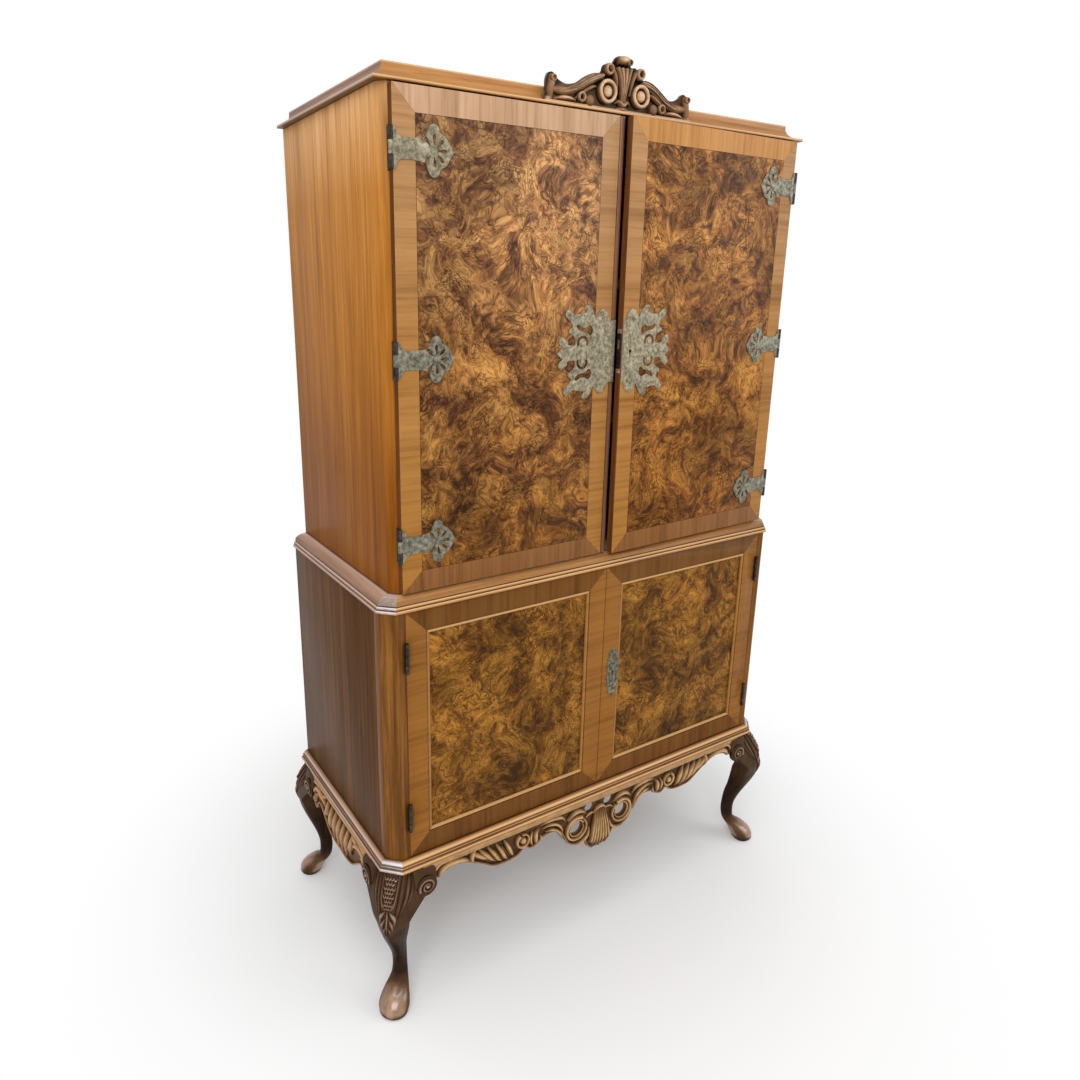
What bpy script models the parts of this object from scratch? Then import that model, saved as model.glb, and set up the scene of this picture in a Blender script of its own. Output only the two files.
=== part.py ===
"""Drinks cabinet: an upper cupboard with overlay doors on a lower cupboard with inset doors, on a
carved stand with four cabriole legs.

The origin is on the floor under the middle of the cabinet. X runs along the front, Y from front to
back and Z up. Every length is in metres. The right upper door stands slightly ajar.
"""

import math

import bmesh
import bpy
from mathutils import Matrix, Vector

# Clearances
SEAT_GAP = 0.0003          # between a piece and what carries it
SLIDE_GAP = 0.0003         # around a bolt in its slot, and a pin in its knuckle
HINGE_EDGE_GAP = 0.0003    # between a door's edge and its hinge

# Heights of the storeys, from the floor up
STAND_HEIGHT = 0.300
BASE_THICK = 0.019
LOWER_HEIGHT = 0.479
WAIST_THICK = 0.028
UPPER_HEIGHT = 0.7705
CORNICE_THICK = 0.0305

# Plan of the two cupboards
LOWER_WIDTH = 0.948
UPPER_WIDTH = 0.900
DEPTH = 0.433
UPPER_SETBACK = 0.018
LOWER_CANT = 0.022         # each leg of the canted corner
UPPER_CANT = 0.012

# Boards
LOWER_SIDE_THICK = 0.019
UPPER_SIDE_THICK = 0.025
POST_WIDTH = 0.039
POST_DEPTH = 0.040
BACK_THICK = 0.008
SHELF_THICK = 0.018
FLOOR_THICK = 0.018
LOWER_SHELF_HEIGHT = 0.236     # above the base board
UPPER_SHELF_HEIGHTS = (0.262, 0.508)    # above the top of the waist board

# Mouldings: overhang beyond the cupboard and height above the board's underside
BASE_PROFILE = ((0.015, 0.0), (0.015, 0.006), (0.0115, 0.0075), (0.0115, 0.0105), (0.009, 0.0115))
BASE_TOP_OVERHANG = 0.0015
WAIST_LIP = 0.0045
WAIST_PROFILE = ((0.0, 0.0), (0.0, 0.17), (0.10, 0.22), (0.20, 0.40), (0.30, 0.45), (0.90, 0.93))
CORNICE_SIDE_LIP = 0.0108
CORNICE_FRONT_LIP = 0.0075
CORNICE_LIP_THICK = 0.0058
CORNICE_LIP_TOP = 0.0025   # top of the lip in front of the hollow
CORNICE_LIP_EASE = 0.0006  # fall of the lip's top towards its edge
CORNICE_RECESS = 0.0243    # from the lip's edge back to the top fillet
CORNICE_FILLET = 0.005
HOLLOW_STEPS = 5

# Carved crest, half outline: distance from the middle and height above the cornice lip
CREST_OUTLINE = ((0.0, 0.0855), (0.009, 0.0845), (0.016, 0.078), (0.021, 0.071), (0.031, 0.0715),
                 (0.038, 0.064), (0.046, 0.055), (0.062, 0.052), (0.080, 0.042), (0.098, 0.034),
                 (0.116, 0.031), (0.132, 0.036), (0.141, 0.044), (0.150, 0.043), (0.155, 0.033),
                 (0.155, 0.018), (0.161, 0.010), (0.161, 0.0))
CREST_FRONT_INSET = 0.007  # the carving's front, behind the lip's edge
CREST_THICK = 0.013
ROSETTE_SPACING = 0.072
ROSETTE_RADIUS = 0.0205
ROSETTE_HEIGHT = 0.0315
ROSETTE_PROUD = 0.0055

# Stand
KNEE_BLOCK = 0.0573        # from the cupboard's corner to the leg block's inner faces
# Leg stations: height, reach outwards and inwards along the diagonal from the cupboard's corner,
# half breadth across it, and roundness (1 is square on the diagonal and 2 is round)
LEG_STATIONS = ((0.0, 0.0290, -0.0130, 0.0235, 2.0), (0.006, 0.0325, -0.0165, 0.0275, 2.0),
                (0.016, 0.0310, -0.0220, 0.0292, 2.0), (0.027, 0.0230, -0.0280, 0.0270, 2.0),
                (0.036, 0.0105, -0.0330, 0.0235, 2.0), (0.043, -0.0060, -0.0385, 0.0195, 2.0),
                (0.053, -0.0165, -0.0440, 0.0160, 2.0), (0.073, -0.0190, -0.0470, 0.0140, 2.0),
                (0.096, -0.0170, -0.0460, 0.0140, 2.0), (0.119, -0.0080, -0.0430, 0.0158, 1.9),
                (0.143, 0.0050, -0.0370, 0.0198, 1.7), (0.167, 0.0190, -0.0330, 0.0255, 1.45),
                (0.190, 0.0300, -0.0300, 0.0312, 1.25), (0.214, 0.0385, -0.0290, 0.0375, 1.1))
LEG_SIDES = 16
# Knee block stations: height and reach outwards along the diagonal
KNEE_STATIONS = ((0.250, 0.0365), (0.262, 0.0315), (0.280, 0.0205))
KNEE_TOP_REACH = 0.003
EAR_RADIUS = 0.0215
EAR_HEIGHT = 0.264         # of the scroll's middle above the floor
EAR_REACH = 0.0035         # of the scroll's middle beyond the leg block
EAR_PROUD = 0.0275         # of the scroll's face beyond the cupboard's face

APRON_PROUD = 0.018        # of the carved aprons beyond the cupboard's face
APRON_THICK = 0.022
# Lower edges of the aprons: share of the half span and drop below the base board
FRONT_APRON_EDGE = ((0.0, 0.127), (0.040, 0.126), (0.066, 0.117), (0.096, 0.098), (0.150, 0.099),
                    (0.195, 0.088), (0.240, 0.056), (0.290, 0.045), (0.350, 0.047), (0.390, 0.058),
                    (0.425, 0.061), (0.458, 0.052), (0.490, 0.063), (0.540, 0.068), (0.625, 0.066),
                    (0.680, 0.053), (0.735, 0.039), (0.800, 0.027), (0.860, 0.025), (0.920, 0.033),
                    (0.960, 0.040), (1.0, 0.037))
SIDE_APRON_EDGE = ((0.0, 0.092), (0.20, 0.093), (0.38, 0.086), (0.52, 0.070), (0.66, 0.054),
                   (0.76, 0.058), (0.83, 0.076), (0.90, 0.066), (1.0, 0.042))
SCROLL_EYE = (0.148, 0.062, 0.0095, 0.0130)    # share of half span, drop, half width, half height
FAN_EYE = (0.066, 0.029, 0.0085, 0.0085)
EYE_SIDES = 10
BACK_RAIL_DROP = 0.065
BACK_RAIL_THICK = 0.022

# Upper doors
UPPER_DOOR_THICK = 0.0145
UPPER_DOOR_REVEAL = 0.0005     # between the door's back and the cupboard's front
UPPER_DOOR_MARGIN = 0.014      # from the cupboard's side to the door's outer edge
UPPER_DOOR_FOOT = 0.0025       # under the doors
UPPER_DOOR_HEAD = 0.0035       # over them
RIGHT_DOOR_EDGE = 0.0005       # from the middle line
AJAR_ANGLE = math.radians(1.7)
BEAD_WIDTH = 0.0142
BEAD_STRIP_GAP = 0.002         # from the bead's outer side to the middle line
BEAD_NOSE_RADIUS = 0.0058
BEAD_SETBACK = 0.0015

# Lower doors
LOWER_DOOR_THICK = 0.020
LOWER_DOOR_GAP = 0.001         # along the hinged edges
LOWER_DOOR_END_GAP = 0.0015
FRAME_WIDTH = 0.0385
MEETING_GAP = 0.0014           # between the two lower doors
PANEL_QUIRK = 0.0012           # groove beside the bead, as wide as it is deep
PANEL_BEAD_RADIUS = 0.0026
PANEL_RECESS = 0.005
PANEL_REBATE = 0.004

# Strap hinges of the upper doors
STRAP_FOOT_DISTANCE = 0.083        # of the lowest strap's middle from the door's foot
STRAP_MIDDLE_HEIGHT = 0.380        # of the middle strap above the door's foot
STRAP_HEAD_DISTANCE = 0.0845       # of the highest strap's middle from the door's head
STRAP_BARREL_RADIUS = 0.0035
STRAP_BARREL_LENGTH = 0.058
STRAP_PIN_RADIUS = 0.0014
LEAF_THICK = 0.0015
FIXED_LEAF_THICK = 0.0012
FIXED_LEAF_WIDTH = 0.0105
KNUCKLE_SIDES = 12
# Half outline of the strap: distance from the pin and from the strap's middle line
STRAP_OUTLINE = ((0.0080, 0.0255), (0.0105, 0.0200), (0.0120, 0.0165), (0.0180, 0.0150), (0.0340, 0.0130),
                 (0.0500, 0.0145), (0.0545, 0.0180), (0.0590, 0.0280), (0.0640, 0.0355), (0.0680, 0.0375),
                 (0.0730, 0.0335), (0.0770, 0.0250), (0.0860, 0.0215), (0.0920, 0.0165), (0.0955, 0.0080))
STRAP_REACH = 0.1025
SLOT_CENTRE = 0.069
SLOT_ANGLES = (-130, -85, -42, 0, 42, 85, 130)
SLOT_START = 0.007
SLOT_END = 0.021
SLOT_HALF_WIDTH = 0.002

# Butt hinges of the lower doors
BUTT_FOOT_DISTANCE = 0.084     # of the lower hinge's middle above the base board
BUTT_HEAD_DISTANCE = 0.083     # of the upper hinge's middle below the waist board
BUTT_BARREL_RADIUS = 0.0032
BUTT_BARREL_LENGTH = 0.056
BUTT_PIN_RADIUS = 0.0013
BUTT_LEAF_THICK = 0.0012
BUTT_LEAF_GAP = 0.0008         # between the two leaves
BUTT_LEAF_DEPTH = 0.016        # of the leaf behind the door's face
BUTT_AXIS_PROUD = 0.0035       # of the pin in front of the door's face

# Lock plates: half outline, from the slab's free edge and from the plate's middle line
PLATE_HEIGHT = 0.380           # of their middles above the upper door's foot
PLATE_OUTLINE = ((0.0075, 0.0550), (0.0075, 0.0660), (0.0155, 0.0710), (0.0245, 0.0680), (0.0315, 0.0580),
                 (0.0395, 0.0660), (0.0455, 0.0770), (0.0555, 0.0800), (0.0635, 0.0740), (0.0615, 0.0650),
                 (0.0755, 0.0610), (0.0895, 0.0660), (0.1025, 0.0710), (0.1045, 0.0620), (0.0865, 0.0450),
                 (0.0975, 0.0370), (0.0875, 0.0280), (0.0935, 0.0190), (0.1035, 0.0220), (0.1125, 0.0240),
                 (0.1165, 0.0180), (0.1105, 0.0100))
PLATE_ROOT_HALF_HEIGHT = 0.054
PLATE_REACH = 0.1195
PLATE_LOOP = ((0.0735, 0.0450), (0.0635, 0.0410), (0.0515, 0.0440), (0.0445, 0.0380), (0.0475, 0.0300),
              (0.0555, 0.0310), (0.0605, 0.0360), (0.0695, 0.0380))
PLATE_CURL = (0.0665, 0.0165)  # middle of the curl
PLATE_CURL_RADII = (0.0085, 0.0135)
PLATE_CURL_TURN = math.radians(140)
PLATE_CURL_STEPS = 6
PLATE_THICK = 0.0015
PLATE_OVER_BEAD = 0.0095       # of the left plate beyond its slab, over the bead

# Escutcheon of the right lower door: half outline, from its middle outwards and upwards
ESCUTCHEON_OUTLINE = ((0.013, 0.006), (0.0175, 0.014), (0.012, 0.020), (0.0155, 0.028), (0.009, 0.034),
                      (0.0125, 0.042), (0.006, 0.047))
ESCUTCHEON_HALF_HEIGHT = 0.054
ESCUTCHEON_WAIST = 0.0145
LOWER_KEY_HEIGHT = 0.249       # of the keyhole above the base board

# Locks
KEY_RADIUS = 0.0034
KEY_SLOT_HALF_WIDTH = 0.0014
KEY_SLOT_LENGTH = 0.010
KEY_BACKSET_UPPER = 0.0185     # of the keyhole from the door's free edge
KEY_BACKSET_LOWER = 0.0265
LOCK_WIDTH = 0.0345
LOCK_HALF_HEIGHT = 0.034
LOCK_DEPTH = 0.009
WARD_HALF_WIDTH = 0.0042       # space in which the key turns
WARD_HALF_DEPTH = 0.0018
WARD_DROP = 0.012
LOCK_BOLT_HALF_HEIGHT = 0.008
LOCK_BOLT_HALF_DEPTH = 0.002
LOCK_BOLT_LENGTH = 0.019
LOCK_BOLT_RISE = 0.012         # of the bolt's middle above the keyhole
LOCK_THROW = 0.0065

# Sliding bolts inside the left doors
SLIDE_EDGE_DISTANCE = 0.030    # from the door's free edge
SLIDE_HALF_WIDTH = 0.005
SLIDE_HALF_DEPTH = 0.002
SLIDE_LENGTH = 0.060
SLIDE_BACK_COVER = 0.0042      # wood left behind the bolt
SLIDE_THROW = 0.0065
SLIDE_REST_DROP = 0.0005       # the resting bolt's end below what it shoots into or the door's head
NECK_HALF_WIDTH = 0.0025
NECK_REACH = 0.0085            # of the cranked neck behind the door
KNOB_RADIUS = 0.0060
KNOB_LENGTH = 0.0060

# Levels and planes worked out from the sizes above
Z_BASE = STAND_HEIGHT
Z_LOWER = Z_BASE + BASE_THICK
Z_WAIST = Z_LOWER + LOWER_HEIGHT
Z_UPPER = Z_WAIST + WAIST_THICK
Z_CORNICE = Z_UPPER + UPPER_HEIGHT
Z_LIP = Z_CORNICE + CORNICE_LIP_THICK
FRONT = -DEPTH / 2
BACK = DEPTH / 2
UPPER_FRONT = FRONT + UPPER_SETBACK
UPPER_DOOR_BACK = UPPER_FRONT - UPPER_DOOR_REVEAL
UPPER_DOOR_FACE = UPPER_DOOR_BACK - UPPER_DOOR_THICK
UPPER_DOOR_BOTTOM = Z_UPPER + UPPER_DOOR_FOOT
UPPER_DOOR_TOP = Z_CORNICE - UPPER_DOOR_HEAD
UPPER_DOOR_EDGE = UPPER_WIDTH / 2 - UPPER_DOOR_MARGIN
STRAP_HEIGHTS = (STRAP_FOOT_DISTANCE, STRAP_MIDDLE_HEIGHT,
                 UPPER_DOOR_TOP - UPPER_DOOR_BOTTOM - STRAP_HEAD_DISTANCE)
BUTT_HEIGHTS = (BUTT_FOOT_DISTANCE, LOWER_HEIGHT - BUTT_HEAD_DISTANCE)
STRAP_AXIS_X = UPPER_DOOR_EDGE + HINGE_EDGE_GAP + STRAP_BARREL_RADIUS
LOWER_OPENING = LOWER_WIDTH / 2 - POST_WIDTH
LOWER_DOOR_EDGE = LOWER_OPENING - LOWER_DOOR_GAP
LOWER_DOOR_BOTTOM = Z_LOWER + LOWER_DOOR_END_GAP
LOWER_DOOR_TOP = Z_WAIST - LOWER_DOOR_END_GAP
BUTT_AXIS_X = LOWER_OPENING - LOWER_DOOR_GAP / 2
BUTT_AXIS_Y = FRONT - BUTT_AXIS_PROUD
LEFT_DOOR_EDGE = BEAD_STRIP_GAP + BEAD_WIDTH + SEAT_GAP
KEY_X_UPPER = RIGHT_DOOR_EDGE + KEY_BACKSET_UPPER
KEY_Z_UPPER = UPPER_DOOR_BOTTOM + PLATE_HEIGHT
KEY_X_LOWER = MEETING_GAP / 2 + KEY_BACKSET_LOWER
KEY_Z_LOWER = Z_LOWER + LOWER_KEY_HEIGHT
UPPER_SLIDE_X = -(LEFT_DOOR_EDGE + SLIDE_EDGE_DISTANCE)
LOWER_SLIDE_X = -(MEETING_GAP / 2 + SLIDE_EDGE_DISTANCE)

# Colours, linear RGB with roughness and metallic value
WALNUT = ((0.26, 0.13, 0.05), 0.40, 0.0)
BURR = ((0.30, 0.16, 0.07), 0.35, 0.0)
SIDE_WOOD = ((0.22, 0.09, 0.03), 0.40, 0.0)
CARVED = ((0.42, 0.26, 0.12), 0.50, 0.0)
LEG_WOOD = ((0.03, 0.02, 0.015), 0.35, 0.0)
INNER_WOOD = ((0.28, 0.18, 0.10), 0.60, 0.0)
BRASS = ((0.36, 0.34, 0.22), 0.45, 0.9)
IRON = ((0.03, 0.03, 0.03), 0.50, 0.8)


def material(name, look):
    """A Principled material of its own for one object."""
    colour, roughness, metallic = look
    made = bpy.data.materials.new(name)
    made.use_nodes = True
    shader = made.node_tree.nodes["Principled BSDF"]
    shader.inputs["Base Color"].default_value = (*colour, 1.0)
    shader.inputs["Roughness"].default_value = roughness
    shader.inputs["Metallic"].default_value = metallic
    return made


def pivot(name, location, turn=0.0):
    """An empty on a joint's axis that carries the pieces of one door."""
    empty = bpy.data.objects.new(name, None)
    empty.location = location
    empty.rotation_euler.z = turn
    bpy.context.scene.collection.objects.link(empty)
    return empty


def add_object(name, bm, origin, parent):
    """An object from a mesh in closed-door coordinates, with its origin at the given point."""
    bmesh.ops.translate(bm, verts=bm.verts, vec=-Vector(origin))
    bmesh.ops.recalc_face_normals(bm, faces=bm.faces)
    mesh = bpy.data.meshes.new(name)
    bm.to_mesh(mesh)
    bm.free()
    made = bpy.data.objects.new(name, mesh)
    made.location = Vector(origin) - (parent.location if parent else Vector())
    made.parent = parent
    bpy.context.scene.collection.objects.link(made)
    return made


def piece(name, bm, look, origin=(0.0, 0.0, 0.0), parent=None, smooth=None):
    """One named piece with its material; smooth is the angle above which an edge stays sharp."""
    made = add_object(name, bm, origin, parent)
    made.data.materials.append(material(name, look))
    if smooth:
        made.data.shade_smooth()
        made.data.set_sharp_from_angle(angle=math.radians(smooth))
    return made


def combine(target, name, bm, operation="DIFFERENCE"):
    """Cuts a shape out of a piece, or joins it to the piece, with a Boolean modifier."""
    tool = add_object(name, bm, (0.0, 0.0, 0.0), None)
    tool.location = -target.parent.location if target.parent else Vector()
    tool.parent = target.parent
    tool.hide_render = True
    tool.display_type = "WIRE"
    modifier = target.modifiers.new(name, "BOOLEAN")
    modifier.operation = operation
    modifier.solver = "EXACT"
    modifier.object = tool


def box(x0, x1, y0, y1, z0, z1):
    """A block between two corners."""
    bm = bmesh.new()
    bmesh.ops.create_cube(bm, size=1.0)
    bmesh.ops.scale(bm, verts=bm.verts, vec=(x1 - x0, y1 - y0, z1 - z0))
    bmesh.ops.translate(bm, verts=bm.verts, vec=((x0 + x1) / 2, (y0 + y1) / 2, (z0 + z1) / 2))
    return bm


def add_loop(bm, points):
    """A closed loop of edges through the points."""
    verts = [bm.verts.new(point) for point in points]
    return [bm.edges.new((verts[i - 1], verts[i])) for i in range(len(verts))]


def extrude_outline(loops, to_space, depth):
    """A plate: filled flat loops, the first outer and the others holes, drawn out by a vector."""
    bm = bmesh.new()
    edges = []
    for loop in loops:
        edges += add_loop(bm, [to_space(a, b) for a, b in loop])
    bmesh.ops.triangle_fill(bm, use_beauty=True, use_dissolve=False, edges=edges)
    drawn = bmesh.ops.extrude_face_region(bm, geom=list(bm.faces))["geom"]
    moved = [item for item in drawn if isinstance(item, bmesh.types.BMVert)]
    bmesh.ops.translate(bm, verts=moved, vec=depth)
    return bm


def front_plate(loops, y0, y1):
    """A plate drawn in X and Z that fills the depth from y0 to y1."""
    return extrude_outline(loops, lambda a, b: (a, y0, b), (0.0, y1 - y0, 0.0))


def side_plate(loops, x0, x1):
    """A plate drawn in Y and Z that fills the width from x0 to x1."""
    return extrude_outline(loops, lambda a, b: (x0, a, b), (x1 - x0, 0.0, 0.0))


def upright(outline, z0, z1):
    """A prism with the given plan between two heights."""
    return extrude_outline([outline], lambda a, b: (a, b, z0), (0.0, 0.0, z1 - z0))


def skin(rings, closed=False):
    """A solid through rings of points: capped at its ends, or closed on itself like a frame."""
    bm = bmesh.new()
    made = [[bm.verts.new(point) for point in ring] for ring in rings]
    pairs = list(zip(made, made[1:]))
    if closed:
        pairs.append((made[-1], made[0]))
    else:
        bm.faces.new(made[0])
        bm.faces.new(made[-1])
    for lower, upper in pairs:
        for i in range(len(lower)):
            bm.faces.new((lower[i - 1], lower[i], upper[i], upper[i - 1]))
    return bm


def smooth_line(points, steps):
    """Points along a smooth curve through the given ones."""
    line = []
    for i in range(len(points) - 1):
        before = Vector(points[max(i - 1, 0)])
        start = Vector(points[i])
        end = Vector(points[i + 1])
        after = Vector(points[min(i + 2, len(points) - 1)])
        for step in range(steps):
            t = step / steps
            line.append(0.5 * (2 * start + (end - before) * t
                               + (2 * before - 5 * start + 4 * end - after) * t ** 2
                               + (3 * start - before - 3 * end + after) * t ** 3))
    line.append(Vector(points[-1]))
    return [tuple(point) for point in line]


def ellipse(x, z, half_x, half_z, sides):
    """A closed outline of an ellipse."""
    turns = [2 * math.pi * i / sides for i in range(sides)]
    return [(x + half_x * math.cos(turn), z + half_z * math.sin(turn)) for turn in turns]


def mirrored(half):
    """A whole outline from its right half, which starts and ends on or beside the middle line."""
    left = [(-x, z) for x, z in reversed(half) if x > 0.0]
    return list(half) + left


def flip_x(bm):
    """The mirror image across the middle plane of the cabinet."""
    bmesh.ops.scale(bm, verts=bm.verts, vec=(-1.0, 1.0, 1.0))
    return bm


def cylinder(radius, depth, sides, matrix):
    """A cylinder along its own Z, placed by a matrix."""
    bm = bmesh.new()
    bmesh.ops.create_cone(bm, cap_ends=True, segments=sides, radius1=radius, radius2=radius,
                          depth=depth, matrix=matrix)
    return bm


def canted_plan(width, front, cant, overhang=0.0):
    """Plan of a cupboard with canted front corners, widened by an overhang but not at the back."""
    side = width / 2 + overhang
    shift = cant - overhang * math.tan(math.radians(22.5))
    corner = width / 2 - shift
    ahead = front - overhang
    return [(-side, BACK), (-side, front + shift), (-corner, ahead),
            (corner, ahead), (side, front + shift), (side, BACK)]


def ring_at(plan, z):
    """A plan lifted to a height."""
    return [(x, y, z) for x, y in plan]


def mixed_plan(first, second, share):
    """A plan part of the way from one to another."""
    return [tuple(Vector(a).lerp(Vector(b), share)) for a, b in zip(first, second)]


def leg_ring(height, outward, inward, half_breadth, roundness):
    """One section of a leg, in its diagonal frame: the outward reach is along +X."""
    middle = (outward + inward) / 2
    half_reach = (outward - inward) / 2
    ring = []
    for i in range(LEG_SIDES):
        turn = 2 * math.pi * i / LEG_SIDES
        along = abs(math.cos(turn)) ** (2 / roundness)
        across = abs(math.sin(turn)) ** (2 / roundness)
        ring.append((middle + math.copysign(half_reach * along, math.cos(turn)),
                     math.copysign(half_breadth * across, math.sin(turn)), height))
    return ring


def leg_shape(turn, corner):
    """A cabriole leg on the diagonal of a corner, with a flat slipper foot and a knee block."""
    inward = -KNEE_BLOCK * math.sqrt(2)
    rings = [leg_ring(*station) for station in LEG_STATIONS]
    for height, outward in KNEE_STATIONS + ((Z_BASE, KNEE_TOP_REACH),):
        rings.append(leg_ring(height, outward, inward, (outward - inward) / 2, 1.0))
    bm = skin(rings)
    place = Matrix.Translation((*corner, 0.0)) @ Matrix.Rotation(turn, 4, "Z")
    bmesh.ops.transform(bm, matrix=place, verts=bm.verts)
    return bm


def ear_outline(inner_face, facing):
    """Half-round scroll beside a knee, growing from the leg block towards the apron."""
    centre = inner_face + facing * EAR_REACH
    turns = [math.radians(angle) for angle in range(-90, 91, 20)]
    points = [(centre + facing * EAR_RADIUS * math.cos(turn), EAR_HEIGHT + EAR_RADIUS * math.sin(turn))
              for turn in turns]
    root = inner_face - facing * EAR_RADIUS
    return points + [(root, EAR_HEIGHT + EAR_RADIUS), (root, EAR_HEIGHT - EAR_RADIUS)]


def build_legs():
    """Four legs; scroll ears stand beside each knee wherever an apron is carved."""
    block_x = LOWER_WIDTH / 2 - KNEE_BLOCK
    block_y = DEPTH / 2 - KNEE_BLOCK
    behind_ear = SEAT_GAP + APRON_PROUD
    for end, side_y in (("front", -1), ("back", 1)):
        for hand, side_x in (("left", -1), ("right", 1)):
            name = f"leg_{end}_{hand}"
            corner = (side_x * LOWER_WIDTH / 2, side_y * DEPTH / 2)
            turn = math.atan2(side_y, side_x)
            leg = piece(name, leg_shape(turn, corner), LEG_WOOD, smooth=40)
            side_ear = side_plate([ear_outline(side_y * block_y, -side_y)],
                                  side_x * (LOWER_WIDTH / 2 + behind_ear),
                                  side_x * (LOWER_WIDTH / 2 + EAR_PROUD))
            combine(leg, name + "_side_ear", side_ear, "UNION")
            if end == "front":
                front_ear = front_plate([ear_outline(side_x * block_x, -side_x)],
                                        FRONT - EAR_PROUD, FRONT - behind_ear)
                combine(leg, name + "_front_ear", front_ear, "UNION")


def apron_outline(edge, half_span):
    """A board under the base board with a carved lower edge, mirrored about its middle."""
    half = [(share * half_span, Z_BASE - drop) for share, drop in edge]
    lower = smooth_line(half, 2)
    return mirrored(lower + [(half_span, Z_BASE)])


def build_aprons():
    """The pierced front apron, the side aprons and the plain rail at the back."""
    half_span = LOWER_WIDTH / 2 - KNEE_BLOCK - SEAT_GAP
    holes = []
    for share, drop, half_x, half_z in (SCROLL_EYE, FAN_EYE):
        for hand in (-1, 1):
            holes.append(ellipse(hand * share * half_span, Z_BASE - drop, half_x, half_z, EYE_SIDES))
    outline = apron_outline(FRONT_APRON_EDGE, half_span)
    face = FRONT - APRON_PROUD
    piece("apron_front", front_plate([outline] + holes, face, face + APRON_THICK), CARVED)
    half_depth = DEPTH / 2 - KNEE_BLOCK - SEAT_GAP
    outline = apron_outline(SIDE_APRON_EDGE, half_depth)
    face = LOWER_WIDTH / 2 + APRON_PROUD
    for hand, side in (("left", -1), ("right", 1)):
        plate = side_plate([outline], side * face, side * (face - APRON_THICK))
        piece(f"apron_{hand}", plate, CARVED)
    rail = box(-half_span, half_span, BACK - BACK_RAIL_THICK, BACK, Z_BASE - BACK_RAIL_DROP, Z_BASE)
    piece("stand_back_rail", rail, SIDE_WOOD)


def build_base_board():
    """The moulded board that caps the stand and is the floor of the lower cupboard."""
    rings = []
    for overhang, height in BASE_PROFILE:
        plan = canted_plan(LOWER_WIDTH, FRONT, LOWER_CANT, overhang)
        rings.append(ring_at(plan, Z_BASE + max(height, SEAT_GAP)))
    rings.append(ring_at(canted_plan(LOWER_WIDTH, FRONT, LOWER_CANT, BASE_TOP_OVERHANG), Z_LOWER))
    piece("base_board", skin(rings), WALNUT)


def build_lower_cupboard():
    """Canted posts, sides, back and shelf of the lower cupboard."""
    half = LOWER_WIDTH / 2
    bottom = Z_LOWER + SEAT_GAP
    behind_post = FRONT + POST_DEPTH + SEAT_GAP
    for hand, side in (("left", -1), ("right", 1)):
        plan = [(side * half, FRONT + POST_DEPTH), (side * half, FRONT + LOWER_CANT),
                (side * (half - LOWER_CANT), FRONT), (side * LOWER_OPENING, FRONT),
                (side * LOWER_OPENING, FRONT + POST_DEPTH)]
        post = piece(f"lower_post_{hand}", upright(plan, bottom, Z_WAIST), WALNUT)
        for number, height in enumerate(BUTT_HEIGHTS, 1):
            combine(post, f"post_mortise_{hand}_{number}", butt_mortise(side, height, -1))
        ends = sorted((side * half, side * (half - LOWER_SIDE_THICK)))
        piece(f"lower_side_{hand}", box(*ends, behind_post, BACK, bottom, Z_WAIST), SIDE_WOOD)
    inside = half - LOWER_SIDE_THICK - SEAT_GAP
    back_face = BACK - BACK_THICK
    piece("lower_back", box(-inside, inside, back_face, BACK, bottom, Z_WAIST), INNER_WOOD)
    shelf = Z_LOWER + LOWER_SHELF_HEIGHT
    piece("lower_shelf",
          box(-inside, inside, behind_post, back_face - SEAT_GAP, shelf - SHELF_THICK, shelf), INNER_WOOD)


def build_waist_board():
    """The moulded board between the two cupboards, narrowing from the lower plan to the upper."""
    lip = canted_plan(LOWER_WIDTH, FRONT, LOWER_CANT, WAIST_LIP)
    top = canted_plan(UPPER_WIDTH, UPPER_FRONT, UPPER_CANT)
    rings = []
    for inward, rise in WAIST_PROFILE:
        rings.append(ring_at(mixed_plan(lip, top, inward), Z_WAIST + max(rise * WAIST_THICK, SEAT_GAP)))
    rings.append(ring_at(top, Z_UPPER))
    board = piece("waist_board", skin(rings), WALNUT)
    slide_y = lower_slide_y()
    hole = box(LOWER_SLIDE_X - SLIDE_HALF_WIDTH - SLIDE_GAP, LOWER_SLIDE_X + SLIDE_HALF_WIDTH + SLIDE_GAP,
               slide_y - SLIDE_HALF_DEPTH - SLIDE_GAP, slide_y + SLIDE_HALF_DEPTH + SLIDE_GAP,
               Z_WAIST - SLIDE_THROW, Z_WAIST + SLIDE_THROW)
    combine(board, "waist_bolt_hole", hole)


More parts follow.
